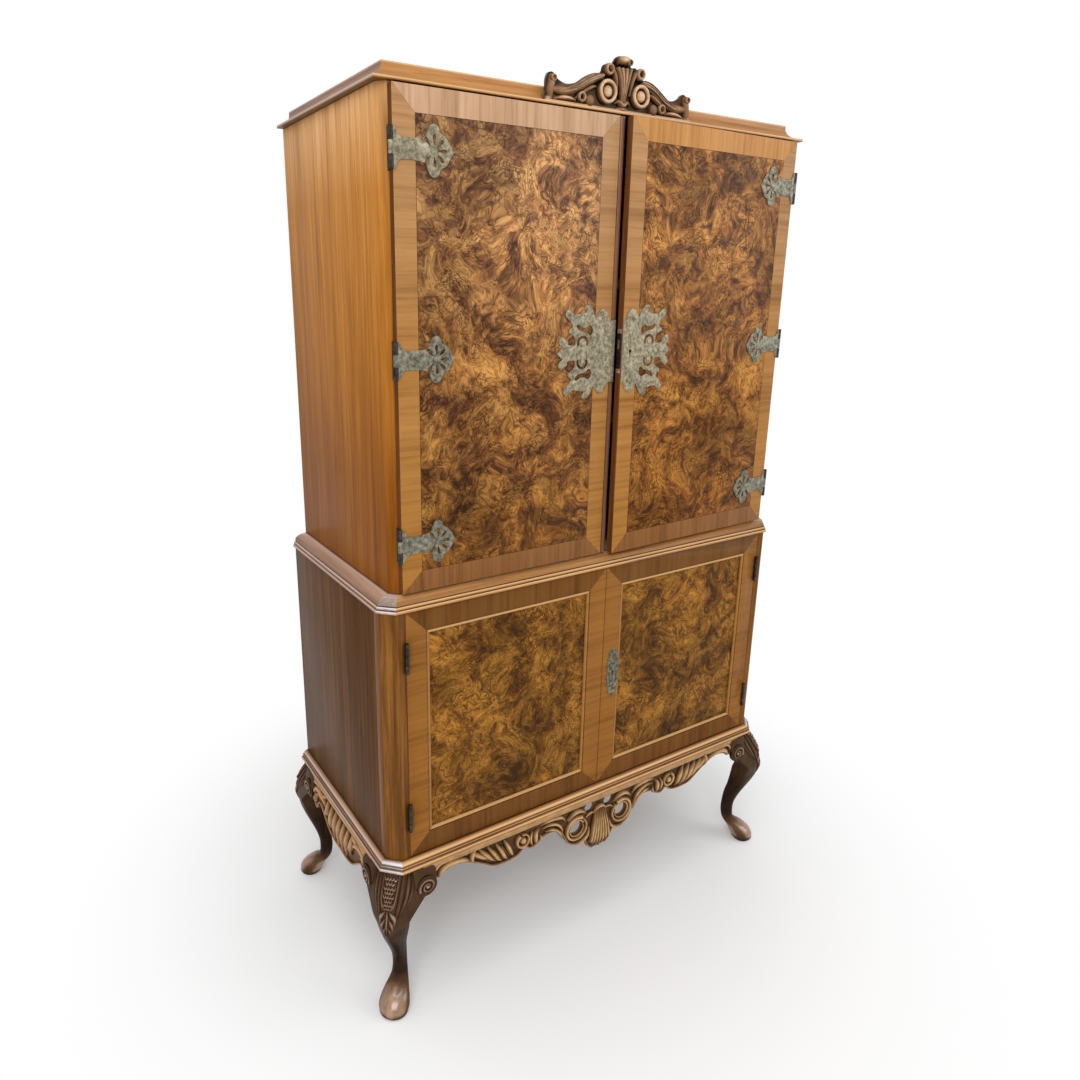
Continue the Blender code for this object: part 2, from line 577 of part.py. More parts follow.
def build_upper_cupboard():
    """Canted sides, floor, back and shelves of the upper cupboard."""
    half = UPPER_WIDTH / 2
    bottom = Z_UPPER + SEAT_GAP
    for hand, side in (("left", -1), ("right", 1)):
        plan = [(side * half, BACK), (side * half, UPPER_FRONT + UPPER_CANT),
                (side * (half - UPPER_CANT), UPPER_FRONT), (side * (half - UPPER_SIDE_THICK), UPPER_FRONT),
                (side * (half - UPPER_SIDE_THICK), BACK)]
        board = piece(f"upper_side_{hand}", upright(plan, bottom, Z_CORNICE), SIDE_WOOD)
        for number, height in enumerate(STRAP_HEIGHTS, 1):
            combine(board, f"side_mortise_{hand}_{number}", strap_mortise(side, height))
    inside = half - UPPER_SIDE_THICK - SEAT_GAP
    back_face = BACK - BACK_THICK
    piece("upper_back", box(-inside, inside, back_face, BACK, bottom, Z_CORNICE), INNER_WOOD)
    back_face -= SEAT_GAP
    piece("upper_floor",
          box(-inside, inside, UPPER_FRONT, back_face, bottom, Z_UPPER + FLOOR_THICK), INNER_WOOD)
    shelf_front = UPPER_FRONT + NECK_REACH + SHELF_THICK
    for number, height in enumerate(UPPER_SHELF_HEIGHTS, 1):
        shelf = Z_UPPER + height
        piece(f"upper_shelf_{number}",
              box(-inside, inside, shelf_front, back_face, shelf - SHELF_THICK, shelf), INNER_WOOD)


def cornice_hollow():
    """Profile of the cornice above its lip: distance back from the lip's edge, and height."""
    rise = CORNICE_THICK - CORNICE_FILLET - CORNICE_LIP_THICK
    run = CORNICE_RECESS - CORNICE_LIP_TOP
    points = []
    for step in range(HOLLOW_STEPS + 1):
        turn = math.pi / 2 * step / HOLLOW_STEPS
        points.append((CORNICE_LIP_TOP + run * math.sin(turn),
                       CORNICE_LIP_THICK + rise * (1 - math.cos(turn))))
    return points


def cornice_plan(recess):
    """Plan of the square-cornered cornice, drawn in from the lip's edge except at the back."""
    side = UPPER_WIDTH / 2 + CORNICE_SIDE_LIP - recess
    front = UPPER_FRONT - CORNICE_FRONT_LIP + recess
    return [(-side, BACK), (-side, front), (side, front), (side, BACK)]


def build_cornice():
    """The moulded top board of the upper cupboard."""
    profile = [(0.0, SEAT_GAP), (0.0, CORNICE_LIP_THICK - CORNICE_LIP_EASE)] + cornice_hollow()
    profile.append((CORNICE_RECESS, CORNICE_THICK))
    rings = [ring_at(cornice_plan(recess), Z_CORNICE + height) for recess, height in profile]
    board = piece("cornice", skin(rings), WALNUT, smooth=30)
    back = UPPER_DOOR_BACK + NECK_REACH
    hole = box(UPPER_SLIDE_X - NECK_HALF_WIDTH - SLIDE_GAP, UPPER_SLIDE_X + NECK_HALF_WIDTH + SLIDE_GAP,
               back - 2 * NECK_HALF_WIDTH - SLIDE_GAP, back + SLIDE_GAP,
               Z_CORNICE - SLIDE_THROW, Z_CORNICE + SLIDE_THROW)
    combine(board, "cornice_bolt_hole", hole)


def build_crest():
    """The carved crest that stands on the lip in front of the hollow, with two rosettes."""
    edge = UPPER_FRONT - CORNICE_FRONT_LIP
    front = edge + CREST_FRONT_INSET
    outline = mirrored([(x, Z_LIP + max(z, SEAT_GAP)) for x, z in CREST_OUTLINE])
    crest = piece("crest", front_plate([outline], front, front + CREST_THICK), CARVED)
    for hand, side in (("left", -1), ("right", 1)):
        middle = (side * ROSETTE_SPACING / 2, front - ROSETTE_PROUD / 2 + CREST_THICK / 4,
                  Z_LIP + ROSETTE_HEIGHT)
        place = Matrix.Translation(middle) @ Matrix.Rotation(math.pi / 2, 4, "X")
        rosette = cylinder(ROSETTE_RADIUS, ROSETTE_PROUD + CREST_THICK / 2, 2 * KNUCKLE_SIDES, place)
        combine(crest, f"rosette_{hand}", rosette, "UNION")
    hollow = [(edge + back - SEAT_GAP, Z_CORNICE + height + SEAT_GAP) for back, height in cornice_hollow()]
    last = hollow[-1]
    behind = edge + CREST_FRONT_INSET + 2 * CREST_THICK
    profile = hollow + [(last[0], Z_CORNICE + CORNICE_THICK), (behind, Z_CORNICE + CORNICE_THICK),
                        (behind, Z_CORNICE), (hollow[0][0], Z_CORNICE)]
    reach = CREST_OUTLINE[-1][0] + CREST_THICK
    combine(crest, "cornice_shape", side_plate([profile], -reach, reach))


def cut_keyhole(target, name, x, z, y0, y1):
    """Cuts a keyhole through a piece: a round with a slot under it."""
    place = Matrix.Translation((x, (y0 + y1) / 2, z)) @ Matrix.Rotation(math.pi / 2, 4, "X")
    combine(target, name + "_round", cylinder(KEY_RADIUS, y1 - y0, KNUCKLE_SIDES, place))
    slot = box(x - KEY_SLOT_HALF_WIDTH, x + KEY_SLOT_HALF_WIDTH, y0, y1, z - KEY_SLOT_LENGTH, z)
    combine(target, name + "_slot", slot)


def lower_slide_y():
    """Depth at which the left lower door's bolt slides."""
    return FRONT + LOWER_DOOR_THICK - SLIDE_BACK_COVER - SLIDE_HALF_DEPTH


def upper_slide_y():
    """Depth at which the left upper door's bolt slides."""
    return UPPER_DOOR_BACK - SLIDE_BACK_COVER - SLIDE_HALF_DEPTH


def cut_slide_slot(door, name, x, y, back, top):
    """Cuts a slot of T section, open at the door's head, for a sliding bolt."""
    bottom = top - SLIDE_LENGTH - SLIDE_THROW
    wide = box(x - SLIDE_HALF_WIDTH - SLIDE_GAP, x + SLIDE_HALF_WIDTH + SLIDE_GAP,
               y - SLIDE_HALF_DEPTH - SLIDE_GAP, y + SLIDE_HALF_DEPTH + SLIDE_GAP, bottom, top + SLIDE_THROW)
    combine(door, name + "_wide", wide)
    narrow = box(x - NECK_HALF_WIDTH - SLIDE_GAP, x + NECK_HALF_WIDTH + SLIDE_GAP,
                 y, back + SLIDE_THROW, bottom, top + SLIDE_THROW)
    combine(door, name + "_narrow", narrow)


def slide_bolt(name, x, y, back, head, parent):
    """A flat bolt with a knob that stands out behind the door."""
    foot = head - SLIDE_LENGTH
    bar = box(x - SLIDE_HALF_WIDTH, x + SLIDE_HALF_WIDTH, y - SLIDE_HALF_DEPTH, y + SLIDE_HALF_DEPTH,
              foot, head)
    bolt = piece(name, bar, BRASS, (x, y, foot), parent, smooth=40)
    knob_z = foot + KNOB_RADIUS
    knob_middle = back + NECK_REACH - KNOB_LENGTH / 2
    neck = box(x - NECK_HALF_WIDTH, x + NECK_HALF_WIDTH, y, knob_middle,
               knob_z - NECK_HALF_WIDTH, knob_z + NECK_HALF_WIDTH)
    combine(bolt, name + "_knob_neck", neck, "UNION")
    place = Matrix.Translation((x, knob_middle, knob_z)) @ Matrix.Rotation(math.pi / 2, 4, "X")
    combine(bolt, name + "_knob", cylinder(KNOB_RADIUS, KNOB_LENGTH, KNUCKLE_SIDES, place), "UNION")
    return bolt


def add_crank(bolt, x, y, back, head):
    """The crank that carries the upper bolt's tongue behind the door and up to the cornice."""
    reach = back + NECK_REACH
    tongue_front = reach - 2 * NECK_HALF_WIDTH
    tongue_top = Z_CORNICE - SLIDE_REST_DROP
    shelf = head - 2 * NECK_HALF_WIDTH
    profile = [(y, shelf), (reach, shelf), (reach, tongue_top), (tongue_front, tongue_top),
               (tongue_front, head), (y, head)]
    combine(bolt, "upper_bolt_crank", side_plate([profile], x - NECK_HALF_WIDTH, x + NECK_HALF_WIDTH),
            "UNION")


def lock_pocket(edge, back, z):
    """Cutter for a lock's pocket in the back of a door, open at the free edge."""
    return box(edge - LOCK_THROW, edge + LOCK_WIDTH + SEAT_GAP, back - LOCK_DEPTH - SEAT_GAP,
               back + LOCK_THROW, z - LOCK_HALF_HEIGHT - SEAT_GAP, z + LOCK_HALF_HEIGHT + SEAT_GAP)


def lock_bolt_box(start, back, z, length, gap):
    """The bar of a lock's bolt, or its channel when a gap is given."""
    middle = back - LOCK_DEPTH / 2
    return box(start - gap, start + length + gap,
               middle - LOCK_BOLT_HALF_DEPTH - gap, middle + LOCK_BOLT_HALF_DEPTH + gap,
               z + LOCK_BOLT_RISE - LOCK_BOLT_HALF_HEIGHT - gap,
               z + LOCK_BOLT_RISE + LOCK_BOLT_HALF_HEIGHT + gap)


def build_lock(level, edge, back, key_x, z, parent):
    """Lock case with its bolt channel and keyway, and the bolt, drawn back at rest."""
    block = box(edge, edge + LOCK_WIDTH, back - LOCK_DEPTH, back,
                z - LOCK_HALF_HEIGHT, z + LOCK_HALF_HEIGHT)
    case = piece(f"{level}_lock_case", block, IRON, (edge, back, z), parent)
    channel = lock_bolt_box(edge - LOCK_THROW, back, z, LOCK_BOLT_LENGTH + LOCK_THROW, SLIDE_GAP)
    combine(case, f"{level}_bolt_channel", channel)
    middle = back - LOCK_DEPTH / 2
    cut_keyhole(case, f"{level}_keyway", key_x, z, back - 2 * LOCK_DEPTH, middle)
    ward = box(key_x - WARD_HALF_WIDTH, key_x + WARD_HALF_WIDTH, middle - WARD_HALF_DEPTH,
               middle + WARD_HALF_DEPTH, z - WARD_DROP, z + LOCK_BOLT_RISE)
    combine(case, f"{level}_ward_space", ward)
    bar = lock_bolt_box(edge, back, z, LOCK_BOLT_LENGTH, 0.0)
    piece(f"{level}_lock_bolt", bar, BRASS, (edge, middle, z + LOCK_BOLT_RISE), parent)


def circle(radius, height):
    """A ring of points around a pin's axis."""
    turns = [2 * math.pi * i / KNUCKLE_SIDES for i in range(KNUCKLE_SIDES)]
    return [(radius * math.cos(turn), radius * math.sin(turn), height) for turn in turns]


def bored_knuckle(radius, pin_radius, length):
    """The middle knuckle: a tube around the pin, in the hinge's own frame."""
    top = length / 6 - SLIDE_GAP
    bore = pin_radius + SLIDE_GAP
    rings = [circle(radius, -top), circle(radius, top), circle(bore, top), circle(bore, -top)]
    return skin(rings, closed=True)


def pin_and_knuckles(radius, pin_radius, length):
    """The two outer knuckles with the pin between them, in the hinge's own frame."""
    end = length / 2
    third = length / 6 + SLIDE_GAP
    rings = [circle(radius, -end), circle(radius, -third), circle(pin_radius, -third),
             circle(pin_radius, third), circle(radius, third), circle(radius, end)]
    return skin(rings)


def notched_leaf(near, notch, far, length):
    """Outline in Y and Z of a fixed leaf that leaves room for the middle knuckle."""
    end = length / 2
    third = length / 6 + SLIDE_GAP
    return [(near, end), (far, end), (far, -end), (near, -end), (near, -third), (notch, -third),
            (notch, third), (near, third)]


def tongued_leaf(near, notch, far, length):
    """Outline in Y and Z of a moving leaf whose middle reaches to its knuckle."""
    end = length / 2
    third = length / 6 - SLIDE_GAP
    return [(notch, end), (far, end), (far, -end), (notch, -end), (notch, -third), (near, -third),
            (near, third), (notch, third)]


def at_hinge(bm, side, axis):
    """Moves a part of a left-hand hinge, drawn about its pin, to its place, mirrored on the right."""
    if side > 0:
        flip_x(bm)
    bmesh.ops.translate(bm, verts=bm.verts, vec=axis)
    return bm


def strap_axis(side, height):
    """Middle of a strap hinge's pin."""
    return (side * STRAP_AXIS_X, UPPER_DOOR_FACE, UPPER_DOOR_BOTTOM + height)


def butt_axis(side, height):
    """Middle of a butt hinge's pin."""
    return (side * BUTT_AXIS_X, BUTT_AXIS_Y, Z_LOWER + height)


def slot_outline(angle):
    """A teardrop slot that radiates from the middle of a strap hinge's palmette."""
    along = Vector((math.cos(angle), math.sin(angle)))
    across = Vector((-along.y, along.x)) * SLOT_HALF_WIDTH
    centre = Vector((SLOT_CENTRE, 0.0))
    wide = SLOT_END - SLOT_HALF_WIDTH
    points = (along * SLOT_START, along * wide + across, along * SLOT_END, along * wide - across)
    return [tuple(centre + point) for point in points]


def strap_outline():
    """Outline of the strap, flared at the barrel and ending in a palmette."""
    root = STRAP_BARREL_RADIUS + 2 * HINGE_EDGE_GAP
    upper = [(root, STRAP_BARREL_LENGTH / 2)] + list(STRAP_OUTLINE)
    lower = [(x, -z) for x, z in reversed(upper)]
    return upper + [(STRAP_REACH, 0.0)] + lower


def strap_mortise(side, height):
    """Cutter for the bed of a strap hinge's fixed leaf in the front edge of the cupboard's side."""
    inner = STRAP_BARREL_RADIUS - FIXED_LEAF_THICK + FIXED_LEAF_WIDTH + SEAT_GAP
    half = STRAP_BARREL_LENGTH / 2 + SEAT_GAP
    depth = UPPER_FRONT - UPPER_DOOR_FACE
    bed = box(-UPPER_CANT, inner, depth - FIXED_LEAF_THICK, depth + FIXED_LEAF_THICK + SEAT_GAP, -half, half)
    return at_hinge(bed, side, strap_axis(side, height))


def build_strap_hinge(hand, side, number, height, parent):
    """A pierced strap on the door with the middle knuckle, and the cupboard's leaf with the pin."""
    axis = strap_axis(side, height)
    radius = STRAP_BARREL_RADIUS
    length = STRAP_BARREL_LENGTH
    third = length / 6 - SLIDE_GAP
    name = f"strap_hinge_{hand}_{number}"
    slots = [slot_outline(math.radians(angle)) for angle in SLOT_ANGLES]
    leaf = front_plate([strap_outline()] + slots, -SEAT_GAP - LEAF_THICK, -SEAT_GAP)
    strap = piece(name, at_hinge(leaf, side, axis), BRASS, axis, parent, smooth=40)
    middle = bored_knuckle(radius, STRAP_PIN_RADIUS, length)
    combine(strap, name + "_knuckle", at_hinge(middle, side, axis), "UNION")
    bridge = box((radius + STRAP_PIN_RADIUS + SLIDE_GAP) / 2, radius + 4 * HINGE_EDGE_GAP,
                 -SEAT_GAP - LEAF_THICK, -SEAT_GAP, -third, third)
    combine(strap, name + "_bridge", at_hinge(bridge, side, axis), "UNION")

    name = f"strap_leaf_{hand}_{number}"
    depth = UPPER_FRONT - UPPER_DOOR_FACE
    pin = pin_and_knuckles(radius, STRAP_PIN_RADIUS, length)
    fixed = piece(name, at_hinge(pin, side, axis), BRASS, axis, smooth=40)
    near = STRAP_PIN_RADIUS + 2 * SLIDE_GAP
    wall = notched_leaf(near, radius + SLIDE_GAP, depth + FIXED_LEAF_THICK, length)
    wall = side_plate([wall], radius - FIXED_LEAF_THICK, radius)
    combine(fixed, name + "_wall", at_hinge(wall, side, axis), "UNION")
    plate = box(radius - FIXED_LEAF_THICK, radius - FIXED_LEAF_THICK + FIXED_LEAF_WIDTH,
                depth, depth + FIXED_LEAF_THICK, -length / 2, length / 2)
    combine(fixed, name + "_plate", at_hinge(plate, side, axis), "UNION")


def butt_mortise(side, height, towards):
    """Cutter for the bed of a butt hinge's leaf: in the door's edge (1) or in the post (-1)."""
    half = BUTT_BARREL_LENGTH / 2 + SEAT_GAP
    ends = sorted((towards * (BUTT_LEAF_GAP / 2 + BUTT_LEAF_THICK + SEAT_GAP), -towards * LOWER_DOOR_GAP))
    bed = box(*ends, 0.0, BUTT_AXIS_PROUD + BUTT_LEAF_DEPTH + SEAT_GAP, -half, half)
    return at_hinge(bed, side, butt_axis(side, height))


def build_butt_hinge(hand, side, number, height, parent):
    """The door's leaf with the middle knuckle, and the post's leaf with the pin."""
    axis = butt_axis(side, height)
    radius = BUTT_BARREL_RADIUS
    length = BUTT_BARREL_LENGTH
    notch = radius + SLIDE_GAP
    far = BUTT_AXIS_PROUD + BUTT_LEAF_DEPTH
    inner = BUTT_LEAF_GAP / 2
    outer = inner + BUTT_LEAF_THICK
    name = f"butt_hinge_{hand}_{number}"
    middle = bored_knuckle(radius, BUTT_PIN_RADIUS, length)
    moving = piece(name, at_hinge(middle, side, axis), BRASS, axis, parent, smooth=40)
    near = BUTT_PIN_RADIUS + 2 * SLIDE_GAP
    leaf = side_plate([tongued_leaf(near, notch, far, length)], inner, outer)
    combine(moving, name + "_plate", at_hinge(leaf, side, axis), "UNION")
    name = f"butt_leaf_{hand}_{number}"
    pin = pin_and_knuckles(radius, BUTT_PIN_RADIUS, length)
    fixed = piece(name, at_hinge(pin, side, axis), BRASS, axis, smooth=40)
    leaf = side_plate([notched_leaf(near, notch, far, length)], -outer, -inner)
    combine(fixed, name + "_plate", at_hinge(leaf, side, axis), "UNION")


def curl_hole(side_up):
    """A slot bent round a leaf of the lock plate, above or below the plate's middle line."""
    inner, outer = PLATE_CURL_RADII
    u, v = PLATE_CURL
    steps = [PLATE_CURL_TURN * (2 * i / PLATE_CURL_STEPS - 1) for i in range(PLATE_CURL_STEPS + 1)]
    there = [(u + outer * math.cos(a), side_up * (v + outer * math.sin(a))) for a in steps]
    back = [(u + inner * math.cos(a), side_up * (v + inner * math.sin(a))) for a in reversed(steps)]
    return there + back


def lock_plate_loops(side, slab_edge, root):
    """Outline and piercings of a lock plate on the slab whose free edge is given."""
    upper = [(root, PLATE_ROOT_HALF_HEIGHT)] + list(PLATE_OUTLINE)
    outline = upper + [(PLATE_REACH, 0.0)] + [(u, -v) for u, v in reversed(upper)]
    loops = [outline, list(PLATE_LOOP), [(u, -v) for u, v in PLATE_LOOP], curl_hole(1), curl_hole(-1)]
    return [[(side * (slab_edge + u), KEY_Z_UPPER + v) for u, v in loop] for loop in loops]


def build_lock_plate(hand, side, slab_edge, root, parent):
    """A fretted brass plate on the face of an upper door."""
    face = UPPER_DOOR_FACE - SEAT_GAP
    plate = front_plate(lock_plate_loops(side, slab_edge, root), face - PLATE_THICK, face)
    return piece(f"lock_plate_{hand}", plate, BRASS, (side * slab_edge, face, KEY_Z_UPPER), parent)


def bead_plan():
    """Plan of the meeting bead: a flat strip with a quirk beside a rounded nose."""
    outer = -BEAD_STRIP_GAP
    inner = outer - BEAD_WIDTH
    front = UPPER_DOOR_FACE + BEAD_SETBACK
    nose_y = front + BEAD_NOSE_RADIUS
    nose_x = outer - BEAD_NOSE_RADIUS
    turns = [math.radians(angle) for angle in range(0, 181, 30)]
    nose = [(nose_x + BEAD_NOSE_RADIUS * math.cos(turn), nose_y - BEAD_NOSE_RADIUS * math.sin(turn))
            for turn in turns]
    return nose + [(inner, nose_y), (inner, UPPER_DOOR_BACK), (outer, UPPER_DOOR_BACK)]


def build_upper_left_door():
    """The left upper door: a slab, the meeting bead on its free edge, fittings and a bolt."""
    door = pivot("upper_left_pivot", (-STRAP_AXIS_X, UPPER_DOOR_FACE, UPPER_DOOR_BOTTOM))
    slab = piece("upper_door_left",
                 box(-UPPER_DOOR_EDGE, -LEFT_DOOR_EDGE, UPPER_DOOR_FACE, UPPER_DOOR_BACK,
                     UPPER_DOOR_BOTTOM, UPPER_DOOR_TOP), BURR, parent=door)
    y = upper_slide_y()
    cut_slide_slot(slab, "upper_slide_slot", UPPER_SLIDE_X, y, UPPER_DOOR_BACK, UPPER_DOOR_TOP)
    bead = piece("meeting_bead", upright(bead_plan(), UPPER_DOOR_BOTTOM, UPPER_DOOR_TOP), WALNUT,
                 parent=door, smooth=40)
    keep = lock_bolt_box(RIGHT_DOOR_EDGE - LOCK_THROW, UPPER_DOOR_BACK, KEY_Z_UPPER,
                         LOCK_THROW, 2 * SLIDE_GAP)
    combine(bead, "bead_keep", keep)
    build_lock_plate("left", -1, LEFT_DOOR_EDGE, -PLATE_OVER_BEAD, door)
    for number, height in enumerate(STRAP_HEIGHTS, 1):
        build_strap_hinge("left", -1, number, height, door)
    head = Z_CORNICE - SEAT_GAP - SLIDE_THROW
    bolt = slide_bolt("upper_left_bolt", UPPER_SLIDE_X, y, UPPER_DOOR_BACK, head, door)
    add_crank(bolt, UPPER_SLIDE_X, y, UPPER_DOOR_BACK, head)


def build_upper_right_door():
    """The right upper door, slightly ajar: a slab with a lock, its plate and strap hinges."""
    door = pivot("upper_right_pivot", (STRAP_AXIS_X, UPPER_DOOR_FACE, UPPER_DOOR_BOTTOM), AJAR_ANGLE)
    slab = piece("upper_door_right",
                 box(RIGHT_DOOR_EDGE, UPPER_DOOR_EDGE, UPPER_DOOR_FACE, UPPER_DOOR_BACK,
                     UPPER_DOOR_BOTTOM, UPPER_DOOR_TOP), BURR, parent=door)
    combine(slab, "upper_lock_pocket", lock_pocket(RIGHT_DOOR_EDGE, UPPER_DOOR_BACK, KEY_Z_UPPER))
    through = (UPPER_DOOR_FACE - LOCK_DEPTH, UPPER_DOOR_BACK)
    cut_keyhole(slab, "upper_door_keyhole", KEY_X_UPPER, KEY_Z_UPPER, *through)
    plate = build_lock_plate("right", 1, RIGHT_DOOR_EDGE, 0.0, door)
    cut_keyhole(plate, "upper_plate_keyhole", KEY_X_UPPER, KEY_Z_UPPER, *through)
    for number, height in enumerate(STRAP_HEIGHTS, 1):
        build_strap_hinge("right", 1, number, height, door)
    build_lock("upper", RIGHT_DOOR_EDGE, UPPER_DOOR_BACK, KEY_X_UPPER, KEY_Z_UPPER, door)


def frame_profile():
    """Section of a lower door's frame: inset from its outer edge and depth behind its face."""
    bead = FRAME_WIDTH + PANEL_QUIRK + PANEL_BEAD_RADIUS
    turns = [math.radians(angle) for angle in range(150, -1, -30)]
    nose = [(bead + PANEL_BEAD_RADIUS * math.cos(turn), PANEL_BEAD_RADIUS * (1 - math.sin(turn)))
            for turn in turns]
    lip = bead + PANEL_BEAD_RADIUS
    rebate = lip - PANEL_REBATE
    return ([(0.0, LOWER_DOOR_THICK), (0.0, 0.0), (FRAME_WIDTH, 0.0), (FRAME_WIDTH, PANEL_QUIRK)] + nose
            + [(lip, PANEL_RECESS), (rebate, PANEL_RECESS), (rebate, LOWER_DOOR_THICK)])


def frame_ring(x0, x1, inset, depth):
    """Rectangle inside a lower door's outline at a depth behind its face."""
    y = FRONT + depth
    left = min(x0, x1) + inset
    right = max(x0, x1) - inset
    bottom = LOWER_DOOR_BOTTOM + inset
    top = LOWER_DOOR_TOP - inset
    return [(left, y, bottom), (right, y, bottom), (right, y, top), (left, y, top)]


def build_lower_leaf(hand, side, door):
    """Mitred frame with a bead round a sunk panel, and the door's hinges."""
    edges = (side * MEETING_GAP / 2, side * LOWER_DOOR_EDGE)
    rings = [frame_ring(*edges, inset, depth) for inset, depth in frame_profile()]
    frame = piece(f"lower_door_{hand}", skin(rings, closed=True), WALNUT, parent=door)
    inset = frame_profile()[-1][0] + SEAT_GAP
    face = frame_ring(*edges, inset, PANEL_RECESS + SEAT_GAP)
    back = frame_ring(*edges, inset, LOWER_DOOR_THICK)
    piece(f"lower_panel_{hand}", skin([face, back]), BURR, parent=door)
    for number, height in enumerate(BUTT_HEIGHTS, 1):
        combine(frame, f"door_mortise_{hand}_{number}", butt_mortise(side, height, 1))
        build_butt_hinge(hand, side, number, height, door)
    return frame


def build_lower_left_door():
    """The left lower door with its keep for the lock and its bolt at the head."""
    door = pivot("lower_left_pivot", (-BUTT_AXIS_X, BUTT_AXIS_Y, LOWER_DOOR_BOTTOM))
    frame = build_lower_leaf("left", -1, door)
    y = lower_slide_y()
    back = FRONT + LOWER_DOOR_THICK
    cut_slide_slot(frame, "lower_slide_slot", LOWER_SLIDE_X, y, back, LOWER_DOOR_TOP)
    keep = lock_bolt_box(MEETING_GAP / 2 - LOCK_THROW, back, KEY_Z_LOWER, LOCK_THROW, 2 * SLIDE_GAP)
    combine(frame, "lower_keep", keep)
    slide_bolt("lower_left_bolt", LOWER_SLIDE_X, y, back, LOWER_DOOR_TOP - SLIDE_REST_DROP, door)


def escutcheon_outline():
    """Lobed outline of the escutcheon around the lower keyhole."""
    above = list(ESCUTCHEON_OUTLINE)
    below = [(x, -z) for x, z in reversed(above)]
    right = below + [(ESCUTCHEON_WAIST, 0.0)] + above
    left = [(-x, z) for x, z in reversed(right)]
    points = right + [(0.0, ESCUTCHEON_HALF_HEIGHT)] + left + [(0.0, -ESCUTCHEON_HALF_HEIGHT)]
    return [(KEY_X_LOWER + x, KEY_Z_LOWER + z) for x, z in points]


def build_lower_right_door():
    """The right lower door with its lock and the fretted escutcheon."""
    door = pivot("lower_right_pivot", (BUTT_AXIS_X, BUTT_AXIS_Y, LOWER_DOOR_BOTTOM))
    frame = build_lower_leaf("right", 1, door)
    edge = MEETING_GAP / 2
    back = FRONT + LOWER_DOOR_THICK
    combine(frame, "lower_lock_pocket", lock_pocket(edge, back, KEY_Z_LOWER))
    through = (FRONT - LOCK_DEPTH, back)
    cut_keyhole(frame, "lower_door_keyhole", KEY_X_LOWER, KEY_Z_LOWER, *through)
    face = FRONT - SEAT_GAP
    plate = piece("escutcheon", front_plate([escutcheon_outline()], face - PLATE_THICK, face), BRASS,
                  (KEY_X_LOWER, face, KEY_Z_LOWER), door)
    cut_keyhole(plate, "escutcheon_keyhole", KEY_X_LOWER, KEY_Z_LOWER, *through)
    build_lock("lower", edge, back, KEY_X_LOWER, KEY_Z_LOWER, door)


def main():
    """Builds the cabinet from the floor up."""
    for old in list(bpy.data.objects):
        bpy.data.objects.remove(old, do_unlink=True)
    build_legs()
    build_aprons()
    build_base_board()
    build_lower_cupboard()
    build_waist_board()
    build_upper_cupboard()
    build_cornice()
    build_crest()
    build_upper_left_door()
    build_upper_right_door()
    build_lower_left_door()
    build_lower_right_door()


main()
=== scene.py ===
"""Dresses a tall walnut drinks cabinet: veneers, mouldings, carving, brass fittings and inner boards.

Every length is in metres, in the frame of the solids: X runs to the right along the front, Y from
front to back and Z up. The right upper door stands slightly ajar, so what belongs to it is turned
about its hinge.
"""
import logging
import math
from dataclasses import dataclass, field
from enum import Enum
from typing import Callable, Iterable, Optional, Sequence, Union

import bmesh
import bpy
from mathutils import Matrix, Vector


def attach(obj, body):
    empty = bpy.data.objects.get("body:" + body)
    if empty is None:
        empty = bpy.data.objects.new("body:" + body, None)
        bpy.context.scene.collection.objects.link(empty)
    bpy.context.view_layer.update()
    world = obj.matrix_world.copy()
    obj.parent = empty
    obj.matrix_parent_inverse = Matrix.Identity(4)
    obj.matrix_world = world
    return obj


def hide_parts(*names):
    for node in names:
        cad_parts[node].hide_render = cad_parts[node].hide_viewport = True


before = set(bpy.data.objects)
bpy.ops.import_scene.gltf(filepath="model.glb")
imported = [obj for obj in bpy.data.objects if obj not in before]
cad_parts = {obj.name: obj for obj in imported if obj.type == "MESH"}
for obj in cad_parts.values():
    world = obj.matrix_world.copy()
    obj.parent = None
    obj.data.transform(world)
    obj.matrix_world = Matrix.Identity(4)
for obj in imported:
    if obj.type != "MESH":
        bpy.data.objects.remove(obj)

LOG = logging.getLogger("drinks_cabinet")
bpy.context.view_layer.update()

Point = tuple[float, float]
Point3 = tuple[float, float, float]
Colour = tuple[float, float, float]
Socket = bpy.types.NodeSocket
Value = Union[float, tuple, Socket]
BMesh = bmesh.types.BMesh
Material = bpy.types.Material
AJAR = math.radians(1.7)
RIGHT_HINGE = Vector((0.4398, -0.2135, 0.0))
HANDS = ("left", "right")
THINNEST = 0.0002
ROOT = -0.002
PLAIN_VENEER = dict(dark=(0.075, 0.024, 0.007), middle=(0.150, 0.052, 0.015), light=(0.240, 0.090, 0.026))


class Grain(Enum):
    """Direction in which the wood's fibres run."""

    ALONG_X = (1.0, 30.0, 30.0)
    ALONG_Y = (30.0, 1.0, 30.0)
    ALONG_Z = (30.0, 30.0, 1.0)


class Body(Enum):
    """Bodies of the cabinet that pieces ride on."""

    CABINET = "cabinet"
    UPPER_LEFT = "upper_left_door"
    UPPER_RIGHT = "upper_right_door"
    LOWER_LEFT = "lower_left_door"
    LOWER_RIGHT = "lower_right_door"


class Slot(Enum):
    """Material slots of the record."""

    BURR = "burr_walnut"
    BANDED = "banded_walnut"
    SIDE = "side_walnut"
    CARVED = "carved_walnut"
    LEG = "dark_leg_walnut"
    BRASS = "aged_brass"
    IRON = "lock_iron"


